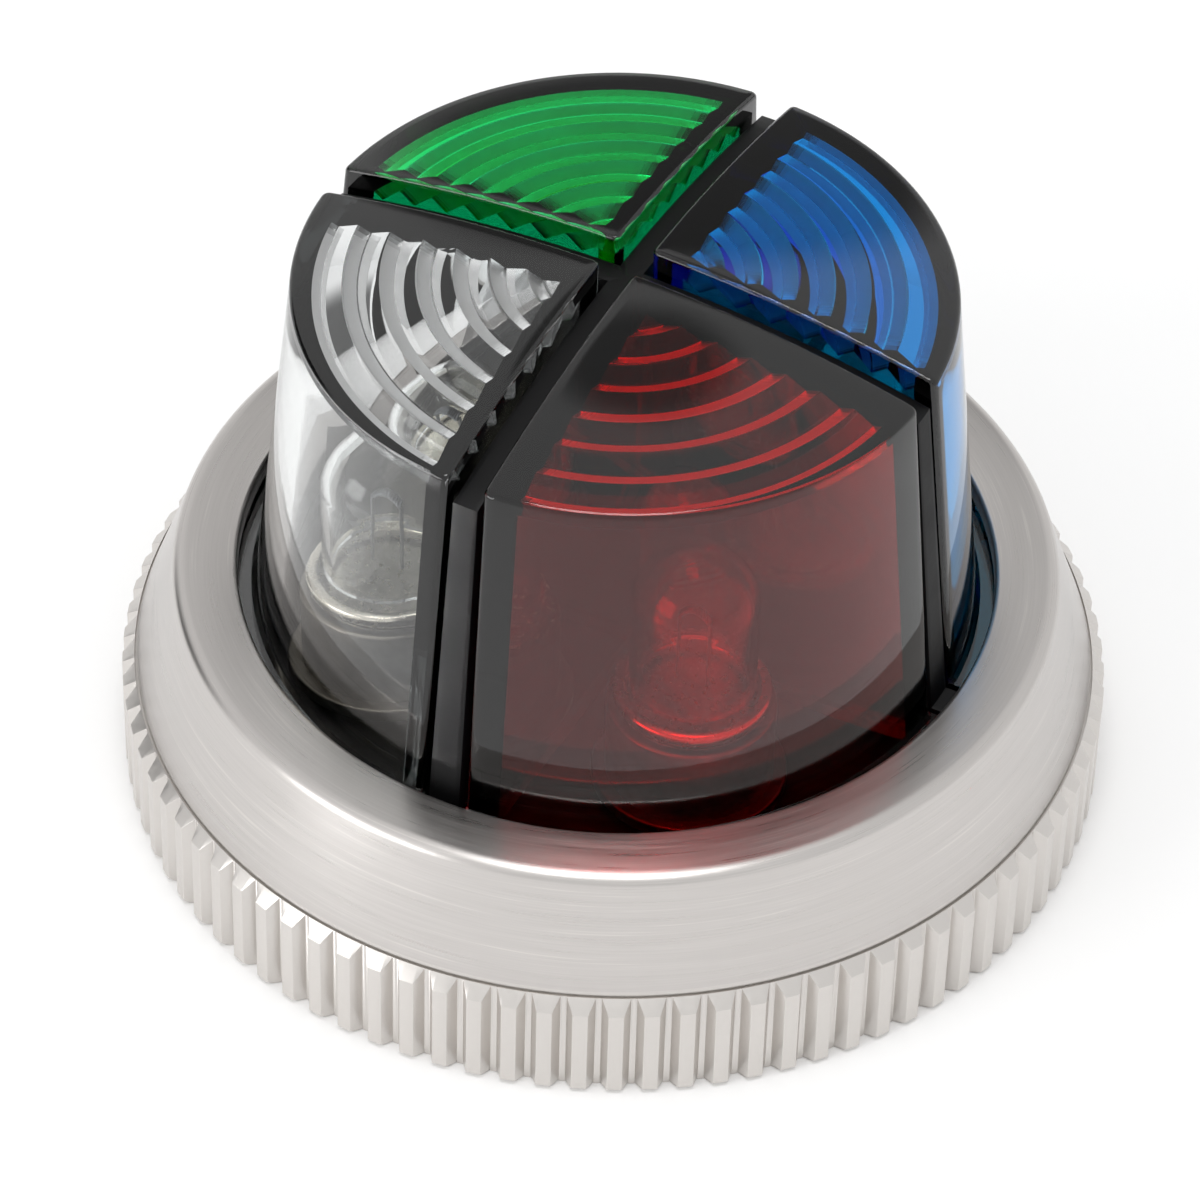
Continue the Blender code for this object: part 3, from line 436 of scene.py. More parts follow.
def eased(outline, closed=True):
    """Rounds the corners of an outline of (radius, height) or (radius, height, rounding) points."""
    made = []
    for i, (r, z, *rounding) in enumerate(outline):
        here = Vector((r, z))
        if not any(rounding) or (not closed and i in (0, len(outline) - 1)):
            made.append((r, z))
            continue
        back = Vector(outline[i - 1][:2]) - here
        on = Vector(outline[(i + 1) % len(outline)][:2]) - here
        half = back.angle(on) / 2
        reach = min(rounding[0] / math.tan(half), back.length * 0.48, on.length * 0.48)
        radius = reach * math.tan(half)
        back.normalize()
        on.normalize()
        centre = here + (back + on).normalized() * (radius / math.sin(half))
        first = here + back * reach - centre
        last = here + on * reach - centre
        start = math.atan2(first.y, first.x)
        sweep = (math.atan2(last.y, last.x) - start + math.pi) % math.tau - math.pi
        for k in range(EDGE_STEPS + 1):
            x, y = polar(radius, start + sweep * k / EDGE_STEPS)
            made.append((centre.x + x, centre.y + y))
    return made


def turned(outline, sides=ROUND, on_axis=False, sweep=math.tau):
    """A turned shape from an outline for eased(): closed, or with on_axis a line from axis to axis."""
    shape = bmesh.new()
    points = [shape.verts.new((r, 0, z)) for r, z in eased(outline, closed=not on_axis)]
    pairs = list(zip(points, points[1:]))
    if not on_axis:
        pairs.append((points[-1], points[0]))
    edges = [shape.edges.new(pair) for pair in pairs]
    whole = sweep >= math.tau
    if not whole:
        shape.faces.new(points)
    spun = bmesh.ops.spin(
        shape, geom=points + edges, cent=(0, 0, 0), axis=(0, 0, 1),
        angle=sweep, steps=sides, use_merge=whole,
    )
    if not whole:
        shape.faces.new([v for v in spun["geom_last"] if isinstance(v, bmesh.types.BMVert)])
    return shape


def boolean(mesh, tool, operation="DIFFERENCE"):
    """Cuts one mesh with a bmesh tool and returns the new mesh."""
    target = new_object("target", mesh)
    cutter = new_object("cutter", as_mesh("cutter", tool))
    modifier = target.modifiers.new("cut", "BOOLEAN")
    modifier.operation = operation
    modifier.solver = "EXACT"
    modifier.object = cutter
    bpy.context.view_layer.update()
    graph = bpy.context.evaluated_depsgraph_get()
    result = bpy.data.meshes.new_from_object(target.evaluated_get(graph))
    for thing in (target, cutter):
        bpy.data.objects.remove(thing, do_unlink=True)
    result.shade_smooth()
    result.set_sharp_from_angle(angle=math.radians(SHARP_ANGLE))
    return result


def moved(shape, where=(0, 0), turn=0):
    """The bmesh turned about Z, then placed in plan."""
    matrix = Matrix.Translation((where[0], where[1], 0)) @ Matrix.Rotation(math.radians(turn), 4, "Z")
    bmesh.ops.transform(shape, matrix=matrix, verts=shape.verts)
    return shape


def band(inner_r, outer_r, low, high, soft, sweep=math.tau):
    """A flat ring with rounded edges."""
    corners = ((inner_r, low), (outer_r, low), (outer_r, high), (inner_r, high))
    return turned([(*corner, soft) for corner in corners], sweep=sweep)


def disc(radius, low, high, sides=SMALL_ROUND):
    return turned([(0, low), (radius, low), (radius, high), (0, high)], sides, on_axis=True)


def drilled(mesh, radius, low, high, where=(0, 0), sides=SMALL_ROUND):
    """The mesh with an upright hole in it."""
    return boolean(mesh, moved(disc(radius, low, high, sides), where))


def block(low, high):
    """A box between two corners."""
    shape = bmesh.new()
    size = Vector(high) - Vector(low)
    middle = (Vector(high) + Vector(low)) / 2
    bmesh.ops.create_cube(shape, size=1, matrix=Matrix.Translation(middle) @ Matrix.Diagonal((*size, 1)))
    return shape


def loft(shape, rows, closed=True):
    """Faces between each row of points and the next, all of as many points."""
    for lower, upper in zip(rows, rows[1:]):
        count = len(lower)
        for i in range(count if closed else count - 1):
            j = (i + 1) % count
            corners = dict.fromkeys((lower[i], lower[j], upper[j], upper[i]))
            if len(corners) > 2:
                shape.faces.new(tuple(corners))


def centre_of(name):
    low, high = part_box(name)
    return ((low.x + high.x) / 2, (low.y + high.y) / 2)


def pin_hole(mesh, low, high):
    """The mesh drilled for the locating pin, with clearance."""
    pin_low, pin_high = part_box("locating_pin")
    radius = (pin_high.x - pin_low.x) / 2 + GAP
    return drilled(mesh, radius, low, high, centre_of("locating_pin"), PIN_HOLE_ROUND)


# ---- the caps and the cross between them ----

def dome_z(r):
    """Height of the shallow domed top at a distance from the axis."""
    return LENS_TOP_Z - (LENS_TOP_Z - LENS_RIM_Z) * (r / LENS_RIM_R) ** 2


def lens_face_r(z):
    share = (z - LENS_BASE_Z) / (LENS_RIM_Z - LENS_BASE_Z)
    return LENS_BASE_R + (LENS_RIM_R - LENS_BASE_R) * share


def half_gap(z, top=GROOVE_HALF_TOP, base=GROOVE_HALF_BASE):
    share = (z - LENS_BASE_Z) / (LENS_TOP_Z - LENS_BASE_Z)
    return base + (top - base) * share


def cap_plan(z, face_r, inset):
    """A cap's outline in plan at a height: near corner, side, outer arc, side. All corners are rounded."""
    near = half_gap(z) + inset
    far = face_r - inset
    corner = CAP_CORNER - inset
    bend = near + corner
    centre_x = math.sqrt((far - corner) ** 2 - bend ** 2)
    meet = math.atan2(bend, centre_x)
    points = [(bend + (centre_x - near - corner) * k / SIDE_STEPS, near) for k in range(SIDE_STEPS)]
    for k in range(CORNER_STEPS):
        x, y = polar(corner, -math.pi / 2 + (meet + math.pi / 2) * k / CORNER_STEPS)
        points.append((centre_x + x, bend + y))
    half = [(y, x) for x, y in reversed(points)]
    for k in range(ARC_STEPS + 1):
        points.append(polar(far, meet + (math.pi / 2 - 2 * meet) * k / ARC_STEPS))
    points += half
    for k in range(1, CORNER_STEPS):
        x, y = polar(corner, math.pi + math.pi / 2 * k / CORNER_STEPS)
        points.append((bend + x, bend + y))
    return points


def prism_depth(r):
    """How far the concentric prism ridges hang below the underside of the top at a radius."""
    share = (r - PRISM_FIRST_R) / PRISM_PITCH % 1
    if share < PRISM_STEEP_SHARE:
        tall = 1 - share / PRISM_STEEP_SHARE
    else:
        tall = (share - PRISM_STEEP_SHARE) / (1 - PRISM_STEEP_SHARE)
    return PRISM_DEPTH * tall


def make_cap_mesh():
    """One quarter-round cap: foot flange, tapered wall, domed top with soft edges, ridges under the top."""
    shape = bmesh.new()

    def row(points, heights):
        return [shape.verts.new((x, y, z)) for (x, y), z in zip(points, heights)]

    def level(z, face_r, inset=0.0):
        points = cap_plan(z, face_r, inset)
        return row(points, [z] * len(points))

    rows = [
        level(LENS_BASE_Z, FLANGE_R - FLANGE_EDGE),
        level(LENS_BASE_Z + FLANGE_EDGE, FLANGE_R),
        level(FLANGE_TOP_Z - FLANGE_EDGE, FLANGE_R),
        level(FLANGE_TOP_Z, FLANGE_R - FLANGE_EDGE),
        level(FLANGE_TOP_Z + FLANGE_EDGE / 4, lens_face_r(FLANGE_TOP_Z) + 2 * FLANGE_EDGE),
        level(FLANGE_TOP_Z + 2 * FLANGE_EDGE, lens_face_r(FLANGE_TOP_Z)),
    ]

    def drafted(inset, drop):
        """The outline at its own top height less a drop, along the drafted sides and the tapered face."""
        low = cap_plan(LENS_BASE_Z, LENS_BASE_R, inset)
        high = cap_plan(LENS_RIM_Z, LENS_RIM_R, inset)
        points, heights = [], []
        for (x0, y0), (x1, y1) in zip(low, high):
            z = LENS_RIM_Z
            for _ in range(4):
                share = (z - LENS_BASE_Z) / (LENS_RIM_Z - LENS_BASE_Z)
                x, y = x0 + (x1 - x0) * share, y0 + (y1 - y0) * share
                z = dome_z(math.hypot(x, y)) - drop
            points.append((x, y))
            heights.append(z)
        return points, heights

    wall_foot = [Vector(v.co) for v in rows[-1]]
    points, heights = drafted(0.0, CAP_EDGE)
    wall_head = [Vector((x, y, z)) for (x, y), z in zip(points, heights)]
    for k in range(1, WALL_ROWS):
        rows.append([shape.verts.new(a.lerp(b, k / WALL_ROWS)) for a, b in zip(wall_foot, wall_head)])
    for k in range(CORNER_STEPS + 1):
        turn = math.pi / 2 * k / CORNER_STEPS
        rows.append(row(*drafted(CAP_EDGE * (1 - math.cos(turn)), CAP_EDGE * (1 - math.sin(turn)))))
    middle = Vector((LENS_RIM_R / 2, LENS_RIM_R / 2))
    edge = [Vector(v.co.xy) for v in rows[-1]]
    for k in range(1, TOP_ROWS):
        inward = [middle + (point - middle) * (1 - k / TOP_ROWS) for point in edge]
        rows.append(row([tuple(p) for p in inward], [dome_z(p.length) for p in inward]))
    loft(shape, rows)
    crown = shape.verts.new((middle.x, middle.y, dome_z(middle.length)))
    last = rows[-1]
    for i in range(len(last)):
        shape.faces.new((last[i], last[(i + 1) % len(last)], crown))

    # The hollow: a ceiling of arcs, one for each radius, and upright walls down to the foot.
    ceiling_z = LENS_RIM_Z - LENS_WALL
    near = half_gap(ceiling_z) + LENS_WALL
    far = lens_face_r(ceiling_z) - LENS_WALL
    base_near = half_gap(LENS_BASE_Z) + LENS_WALL
    base_far = LENS_BASE_R - LENS_WALL
    first_r = near * math.sqrt(2)
    ceiling = []
    for step in range(CEILING_ROWS + 1):
        r = first_r + (far - first_r) * step / CEILING_ROWS
        z = dome_z(r) - LENS_WALL - prism_depth(r)
        start = math.asin(min(1.0, near / r))
        end = math.pi / 2 - start
        if end - start < 1e-6:
            ceiling.append([shape.verts.new((near, near, z))] * (CEILING_STEPS + 1))
            continue
        ceiling.append([
            shape.verts.new((*polar(r, start + (end - start) * k / CEILING_STEPS), z))
            for k in range(CEILING_STEPS + 1)
        ])
    loft(shape, ceiling, closed=False)
    top_loop = [line[0] for line in ceiling]
    top_loop += ceiling[-1][1:]
    top_loop += [line[-1] for line in reversed(ceiling[1:-1])]
    far_x = math.sqrt(far ** 2 - near ** 2)
    base_far_x = math.sqrt(base_far ** 2 - base_near ** 2)

    def foot_of(vert):
        x, y = vert.co.x, vert.co.y
        if abs(y - near) < 1e-7:
            return (base_near + (x - near) / (far_x - near) * (base_far_x - base_near), base_near)
        if abs(x - near) < 1e-7:
            return (base_near, base_near + (y - near) / (far_x - near) * (base_far_x - base_near))
        low_turn = math.atan2(base_near, base_far_x)
        high_turn = math.atan2(near, far_x)
        share = (math.atan2(y, x) - high_turn) / (math.pi / 2 - 2 * high_turn)
        turn = low_turn + (math.pi / 2 - 2 * low_turn) * share
        return polar(base_far, turn)

    foot_loop = [shape.verts.new((*foot_of(v), LENS_BASE_Z)) for v in top_loop]
    loft(shape, [foot_loop, top_loop])
    close_foot(shape, rows[0], foot_loop, middle)
    return as_mesh("cap", shape)


def close_foot(shape, outer, inner, middle):
    """Faces between two loops that both run round a middle point, of unequal counts."""
    def turn_of(vert):
        return math.atan2(vert.co.y - middle.y, vert.co.x - middle.x) % math.tau

    loops = []
    for loop in (outer, inner):
        first = min(range(len(loop)), key=lambda i: turn_of(loop[i]))
        loops.append(loop[first:] + loop[:first])
    outer, inner = loops
    i = j = 0
    while i < len(outer) or j < len(inner):
        a, b = outer[i % len(outer)], inner[j % len(inner)]
        next_outer = turn_of(outer[i + 1]) if i + 1 < len(outer) else math.tau
        next_inner = turn_of(inner[j + 1]) if j + 1 < len(inner) else math.tau
        if j >= len(inner) or (i < len(outer) and next_outer <= next_inner):
            shape.faces.new((a, outer[(i + 1) % len(outer)], b))
            i += 1
        else:
            shape.faces.new((a, inner[(j + 1) % len(inner)], b))
            j += 1


def make_caps():
    master = make_cap_mesh()
    for colour, angle in QUADRANTS.items():
        mesh = master.copy()
        if colour == "blue":
            mesh = pin_hole(mesh, LENS_BASE_Z - GAP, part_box("locating_pin")[1].z + GAP)
        mark_faces(mesh)
        piece(f"cap_{colour}", mesh, DYES[colour], "lens_cap", f"lens_{colour}", turn=angle - 45)


def mark_faces(mesh):
    """Marks the steep faces of the prism ridges for the frost, and the two sides in the grooves for the
    painted shade of their finish.
    """
    frost, sides = [], []
    for face in mesh.polygons:
        x, y, z = face.center
        r = math.hypot(x, y)
        under = dome_z(r) - z
        on_ceiling = LENS_WALL * 0.95 < under < LENS_WALL + PRISM_DEPTH * 1.05 and face.normal.z < -0.4
        steep = (r - PRISM_FIRST_R) / PRISM_PITCH % 1 < PRISM_STEEP_SHARE
        inside = min(x, y) - half_gap(z) - LENS_WALL
        frost.append(min(1.0, inside / FROST_INSET) if on_ceiling and steep else 0.0)
        # The two sides in the groove, which the finish darkens as painted shade.
        in_groove = min(x, y) < half_gap(z) + CAP_EDGE / 2 and min(face.normal.x, face.normal.y) < -0.7
        sides.append(1.0 if in_groove else 0.0)
    mesh.attributes.new("frost", "FLOAT", "FACE").data.foreach_set("value", frost)
    mesh.attributes.new("groove_side", "FLOAT", "FACE").data.foreach_set("value", sides)


def soften(mesh, width):
    """Rounds the mesh's crisp edges by a small width."""
    shape = bmesh.new()
    shape.from_mesh(mesh)
    least = math.radians(40)
    crisp = [edge for edge in shape.edges if len(edge.link_faces) == 2 and edge.calc_face_angle(0) > least]
    bmesh.ops.bevel(shape, geom=crisp, offset=width, segments=2, profile=0.5, affect="EDGES",
                    clamp_overlap=True)
    return as_mesh(mesh.name, shape)


def make_divider():
    """The opaque cross that keeps one lamp's light out of the next cap."""
    top_r = LENS_RIM_R - DIVIDER_SET_BACK
    outline = [(0, LENS_BASE_Z), (FLANGE_R, LENS_BASE_Z), (FLANGE_R, FLANGE_TOP_Z),
               (lens_face_r(FLANGE_TOP_Z) - DIVIDER_SET_BACK, FLANGE_TOP_Z)]
    outline += [(top_r * k / 12, dome_z(top_r * k / 12) - DIVIDER_DROP) for k in range(12, -1, -1)]
    mesh = as_mesh("divider", turned(outline, on_axis=True))
    cross = bmesh.new()
    far = FLANGE_R * 1.2
    rings = []
    for z in (LENS_BASE_Z - GAP, LENS_TOP_Z):
        near = half_gap(z, DIVIDER_HALF_TOP, DIVIDER_HALF_BASE)
        corners = []
        for quarter in range(4):
            turn = Matrix.Rotation(quarter * math.pi / 2, 2)
            corners += [turn @ Vector(corner) for corner in ((far, near), (near, near), (near, far))]
        rings.append([cross.verts.new((x, y, z)) for x, y in corners])
    cross.faces.new(rings[0])
    cross.faces.new(rings[1])
    loft(cross, rings)
    mesh = boolean(mesh, cross, "INTERSECT")
    piece("cross_divider", soften(mesh, DIVIDER_EDGE), NYLON, "lens_cap", "light_divider")


# ---- the threads, the ring and the barrel ----

def loop_at(shape, turns, radius, z):
    return [shape.verts.new((*polar(radius, turn), z)) for turn in turns]


def thread_wall(shape, turns, lower, upper, root_r, crest_r, start_z):
    """A right-handed helical thread on the wall between two loops at the root radius."""
    count = len(turns)
    last = count * THREAD_TURNS
    flank = (THREAD_BASE - THREAD_CREST) / 2
    offsets = (0, flank, flank + THREAD_CREST, THREAD_BASE)
    columns = []
    for u in range(last + 1):
        turn = turns[u % count] + math.tau * (u // count)
        run = min(turn, math.tau * THREAD_TURNS - turn) / (math.tau * THREAD_FADE)
        tall = root_r + (crest_r - root_r) * min(1, run)
        rise = start_z + THREAD_PITCH * turn / math.tau
        columns.append([
            shape.verts.new((*polar(r, turn), rise + up))
            for r, up in zip((root_r, tall, tall, root_r), offsets)
        ])
    for here, there in zip(columns, columns[1:]):
        for j in range(3):
            shape.faces.new((here[j], there[j], there[j + 1], here[j + 1]))
    for u in range(last - count):
        shape.faces.new((columns[u][3], columns[u + 1][3], columns[u + 1 + count][0], columns[u + count][0]))
    for i in range(count - 1):
        shape.faces.new((lower[i], lower[i + 1], columns[i + 1][0], columns[i][0]))
    shape.faces.new((lower[-1], lower[0], *columns[0], columns[count][0], columns[count - 1][0]))
    start = last - count
    for u in range(start + 1, last):
        shape.faces.new((columns[u][3], columns[u + 1][3], upper[(u + 1) % count], upper[u % count]))
    shape.faces.new((columns[start][3], columns[start + 1][3], upper[1], upper[0], *reversed(columns[last])))


def thread_top(start_z):
    return start_z + THREAD_PITCH * THREAD_TURNS + THREAD_BASE


def knurl_outline():
    """(turn, how far proud of the root) round the knurled band, with soft crests and filleted roots."""
    middle_r = (RING_CREST_R + KNURL_ROOT_R) / 2
    pitch = math.tau * middle_r / KNURL_TEETH
    land = pitch * KNURL_ROOT_SHARE
    crest = pitch * KNURL_CREST_SHARE
    flank = (pitch - land - crest) / 2
    tall = RING_CREST_R - KNURL_ROOT_R
    tooth = eased([
        (-land / 2, 0), (0, 0, KNURL_FILLET), (flank, tall, KNURL_EDGE),
        (flank + crest, tall, KNURL_EDGE), (2 * flank + crest, 0, KNURL_FILLET), (pitch - land / 2, 0),
    ], closed=False)[:-1]
    first = land / 2
    return [
        ((k * pitch + first + along) / middle_r, proud)
        for k in range(KNURL_TEETH) for along, proud in tooth
    ]


def make_ring():
    """The knurled screw ring, with its inner thread, snap-ring groove, lip, soft rim and shoulder."""
    shape = bmesh.new()
    outline = knurl_outline()
    shift = outline[0][0]
    turns = [turn - shift for turn, _ in outline]
    root_r = RING_BORE_R + THREAD_HEIGHT
    start_z = THREAD_START_Z + THREAD_PITCH / 2
    relief_z = thread_top(start_z) + GAP
    lower = loop_at(shape, turns, root_r, 0)
    upper = loop_at(shape, turns, root_r, relief_z)
    thread_wall(shape, turns, lower, upper, root_r, RING_BORE_R, start_z)
    groove_r = RING_BORE_R + SNAP_RING_DEPTH
    groove_low = RETAINER_Z - GAP / 2
    groove_high = RETAINER_Z + SNAP_RING_THICK + GAP / 2
    lip_r = lens_face_r(RIM_Z) + LIP_CLEARANCE
    rim_width = SHOULDER_TOP_R - RIM_FLAT_R
    rim_drop = RIM_Z - SHOULDER_TOP_Z
    profile = [
        (RING_BORE_R, relief_z + GAP), (RING_BORE_R, groove_low), (groove_r, groove_low),
        (groove_r, groove_high), (RING_BORE_R, groove_high), (RING_BORE_R, LIP_UNDER_Z),
        (lip_r, LIP_UNDER_Z), (lip_r, RIM_Z - LIP_CHAMFER),
    ]
    for k in range(1, 5):
        turn = math.pi / 2 * k / 4
        profile.append((lip_r + LIP_CHAMFER * (1 - math.cos(turn)),
                        RIM_Z - LIP_CHAMFER * (1 - math.sin(turn))))
    for k in range(9):
        turn = math.pi / 2 * k / 8
        profile.append((RIM_FLAT_R + rim_width * math.sin(turn), RIM_Z - rim_drop * (1 - math.cos(turn))))
    profile += [
        (KNURL_ROOT_R - SHOULDER_LAND, KNURL_HEIGHT + SHOULDER_LAND),
        (KNURL_ROOT_R - SHOULDER_LAND * 1.1, KNURL_HEIGHT - SHOULDER_GROOVE),
        (KNURL_ROOT_R - SHOULDER_LAND * 0.2, KNURL_HEIGHT - SHOULDER_GROOVE),
    ]
    rows = [upper] + [loop_at(shape, turns, r, z) for r, z in profile]
    rows.append(loop_at(shape, turns, KNURL_ROOT_R - 1e-6, KNURL_HEIGHT))

    def band_row(inward, up, at_foot=False):
        """A row round the knurl, off the corner where each point meets the chamfer or the foot."""
        made = []
        for turn, (_, proud) in zip(turns, outline):
            ease = min(1.0, proud / KNURL_EASE)
            z = up if at_foot else KNURL_HEIGHT - proud + up * ease
            made.append(shape.verts.new((*polar(KNURL_ROOT_R + proud - inward * ease, turn), z)))
        return made

    rows += [band_row(inward * KNURL_EDGE, up * KNURL_EDGE) for inward, up in KNURL_END_ROWS]
    rows.append(band_row(0, KNURL_FOOT_CHAMFER, at_foot=True))
    rows.append(band_row(KNURL_FOOT_CHAMFER, 0, at_foot=True))
    loft(shape, rows + [lower])
    piece("knurled_ring", shape, ALUMINIUM, "screw_ring", "bezel_ring")


def make_barrel():
    """The threaded housing barrel: outer thread, bore, inward lip, snap-ring groove, hole for the pin."""
    shape = bmesh.new()
    turns = [math.tau * i / ROUND for i in range(ROUND)]
    relief_z = thread_top(THREAD_START_Z) + GAP
    lower = loop_at(shape, turns, THREAD_ROOT_R, 0)
    upper = loop_at(shape, turns, THREAD_ROOT_R, relief_z)
    thread_wall(shape, turns, lower, upper, THREAD_ROOT_R, THREAD_ROOT_R + THREAD_HEIGHT, THREAD_START_Z)
    groove_r = BODY_BORE_R + SNAP_RING_DEPTH
    groove_high = BLOCK_Z - GAP / 2
    groove_low = groove_high - SNAP_RING_THICK - GAP
    soft = 0.00015
    profile = eased([
        (THREAD_ROOT_R, BODY_TOP_Z, soft), (BODY_LAND_R, BODY_TOP_Z), (BODY_LAND_R, BODY_LAND_Z, soft),
        (BODY_LIP_R, BODY_LAND_Z, soft), (BODY_LIP_R, BODY_LIP_UNDER_Z, soft),
        (BODY_BORE_R, BODY_LIP_UNDER_Z), (BODY_BORE_R, groove_high), (groove_r, groove_high),
        (groove_r, groove_low), (BODY_BORE_R, groove_low), (BODY_BORE_R, 0, soft),
        (THREAD_ROOT_R, 0),
    ])[:-1]
    loft(shape, [upper] + [loop_at(shape, turns, r, z) for r, z in profile] + [lower])
    mesh = pin_hole(as_mesh("barrel", shape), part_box("locating_pin")[0].z - GAP, BODY_TOP_Z + GAP)
    piece("barrel", mesh, ALUMINIUM, "housing", "threaded_body")


def make_snap_ring(name, outer_r, width, body, stands_for):
    """An open flat ring of spring steel, its gap where the frame's ring has it."""
    low, high = (corner.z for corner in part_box(stands_for))
    shape = band(outer_r - width, outer_r, low, high, SNAP_RING_EDGE,
                 sweep=math.tau - math.radians(RING_GAP_ANGLE))
    piece(name, shape, SPRING_STEEL, body, stands_for, turn=gap_turn(stands_for) + RING_GAP_ANGLE / 2)


def gap_turn(name):
    """The direction, in degrees, of the gap in one of the frame's open rings."""
    points = [v.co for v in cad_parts[name].data.vertices]
    turns = sorted(math.atan2(p.y, p.x) for p in points)
    widest = max(zip(turns, turns[1:] + [turns[0] + math.tau]), key=lambda pair: pair[1] - pair[0])
    return math.degrees(sum(widest) / 2)


# ---- the lamps, their sockets and contacts ----

def make_lamp(colour, where):
    """A midget flanged lamp: rolled base, blown envelope, filament coil on two stiff wires."""
    body = f"lamp_{colour}"
    base_low, base_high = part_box(f"lamp_base_{colour}")
    glass_low, glass_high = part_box(f"lamp_glass_{colour}")
    flange_z = base_high.z - LAMP_FLANGE_THICK
    can_z = base_low.z + LAMP_BUTTON_DROP
    dish_r, dish_z = LAMP_FLANGE_R - LAMP_FLANGE_BAND, base_high.z - LAMP_DISH
    soft, rolled = 0.0001, 0.000192
    shape = turned([
        (0, base_low.z), (LAMP_BUTTON_R, base_low.z, 3 * soft), (LAMP_BUTTON_R, can_z),
        (LAMP_BASE_R * 0.9, can_z, soft), (LAMP_BASE_R, can_z + 4 * soft, 2 * soft),
        (LAMP_BASE_R, flange_z), (LAMP_FLANGE_R, flange_z, rolled), (LAMP_FLANGE_R, base_high.z, rolled),
        (dish_r, base_high.z, soft), (dish_r - soft, dish_z, soft), (0, dish_z),
    ], SMALL_ROUND, on_axis=True)
    piece(f"bulb_base_{colour}", shape, NICKEL, body, f"lamp_base_{colour}", where)
    centre_z = glass_high.z - GLASS_R
    inner_r = GLASS_R - GLASS_WALL
    steps = [math.pi / 2 * k / 10 for k in range(10)]
    envelope = [polar(GLASS_R, a) for a in steps] + [(0, GLASS_R), (0, inner_r)]
    envelope += [polar(inner_r, a) for a in reversed(steps)]
    envelope += [(inner_r, glass_low.z - centre_z), (GLASS_R, glass_low.z - centre_z)]
    shape = bmesh.new()
    profile = [shape.verts.new((r, 0, centre_z + z)) for r, z in envelope]
    edges = [shape.edges.new(pair) for pair in zip(profile, profile[1:]) if pair[0].co.x + pair[1].co.x > 0]
    edges.append(shape.edges.new((profile[-1], profile[0])))
    bmesh.ops.spin(shape, geom=profile + edges, cent=(0, 0, 0), axis=(0, 0, 1), angle=math.tau,
                   steps=SMALL_ROUND, use_merge=True)
    piece(f"bulb_{colour}", shape, GLASS, body, f"lamp_glass_{colour}", where)
    make_filament(colour, where, body)


def swept(path, radius, sides=8):
    """A round wire along a path of points, closed at both ends."""
    shape = bmesh.new()
    rows = []
    side = Vector((0, 0, 1)).cross(path[1] - path[0])
    if side.length < 1e-9:
        side = Vector((1, 0, 0))
    side.normalize()
    for i, point in enumerate(path):
        forward = (path[min(i + 1, len(path) - 1)] - path[max(i - 1, 0)]).normalized()
        side = (side - forward * side.dot(forward)).normalized()
        up = forward.cross(side)
        rows.append([
            shape.verts.new(point + radius * (side * math.cos(t) + up * math.sin(t)))
            for t in (math.tau * k / sides for k in range(sides))
        ])
    loft(shape, rows)
    shape.faces.new(rows[0])
    shape.faces.new(rows[-1])
    return shape


def make_filament(colour, where, body):
    """Two support wires and, between their hooks, a fine coil bowed up in the middle."""
    low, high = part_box(f"lamp_filament_{colour}")
    half_x, half_y = (high.x - low.x) / 2, (high.y - low.y) / 2
    span = math.hypot(half_x, half_y) * 0.6
    direction = Vector((half_x, half_y, 0)).normalized()
    across = Vector((-direction.y, direction.x, 0))
    hook_z = high.z - FILAMENT_BOW
    bow = high.z - FILAMENT_COIL_R - FILAMENT_WIRE_R - hook_z
    support = [Vector((0, 0, low.z + (hook_z - low.z) * k / 4)) for k in range(5)]
    path = [point - direction * span for point in support]
    count = FILAMENT_TURNS * 12
    for k in range(count + 1):
        share = k / count
        along = share * 2 - 1
        angle = math.tau * FILAMENT_TURNS * share
        rise = hook_z + bow * (1 - along ** 2)
        path.append(direction * (along * span) + across * FILAMENT_COIL_R * math.sin(angle)
                    + Vector((0, 0, rise + FILAMENT_COIL_R * (1 - math.cos(angle)) / 2)))
    path += [point + direction * span for point in reversed(support)]
    piece(f"filament_{colour}", swept(path, FILAMENT_WIRE_R, 6), TUNGSTEN, body,
          f"lamp_filament_{colour}", where)


def make_socket(colour, where):
    """A flanged sleeve of nickelled brass, its mouth eased for the lamp."""
    low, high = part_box(f"socket_{colour}")
    flange_z = DECK_TOP_Z + GAP
    flange_top = flange_z + SOCKET_FLANGE_THICK
    soft = 0.00012
    shape = turned([
        (SOCKET_BORE_R, low.z), (SOCKET_SPIGOT_R, low.z, soft), (SOCKET_SPIGOT_R, flange_z),
        (SOCKET_FLANGE_R, flange_z, soft), (SOCKET_FLANGE_R, flange_top, soft), (SOCKET_R, flange_top),
        (SOCKET_R, high.z, soft), (SOCKET_BORE_R, high.z, soft * 2),
    ], SMALL_ROUND)
    # The sleeve's nickel is darkened: painted shade for its place deep inside the cap.
    piece(f"sleeve_{colour}", shape, NICKEL_PAINTED_SHADE, "housing", f"socket_{colour}", where)


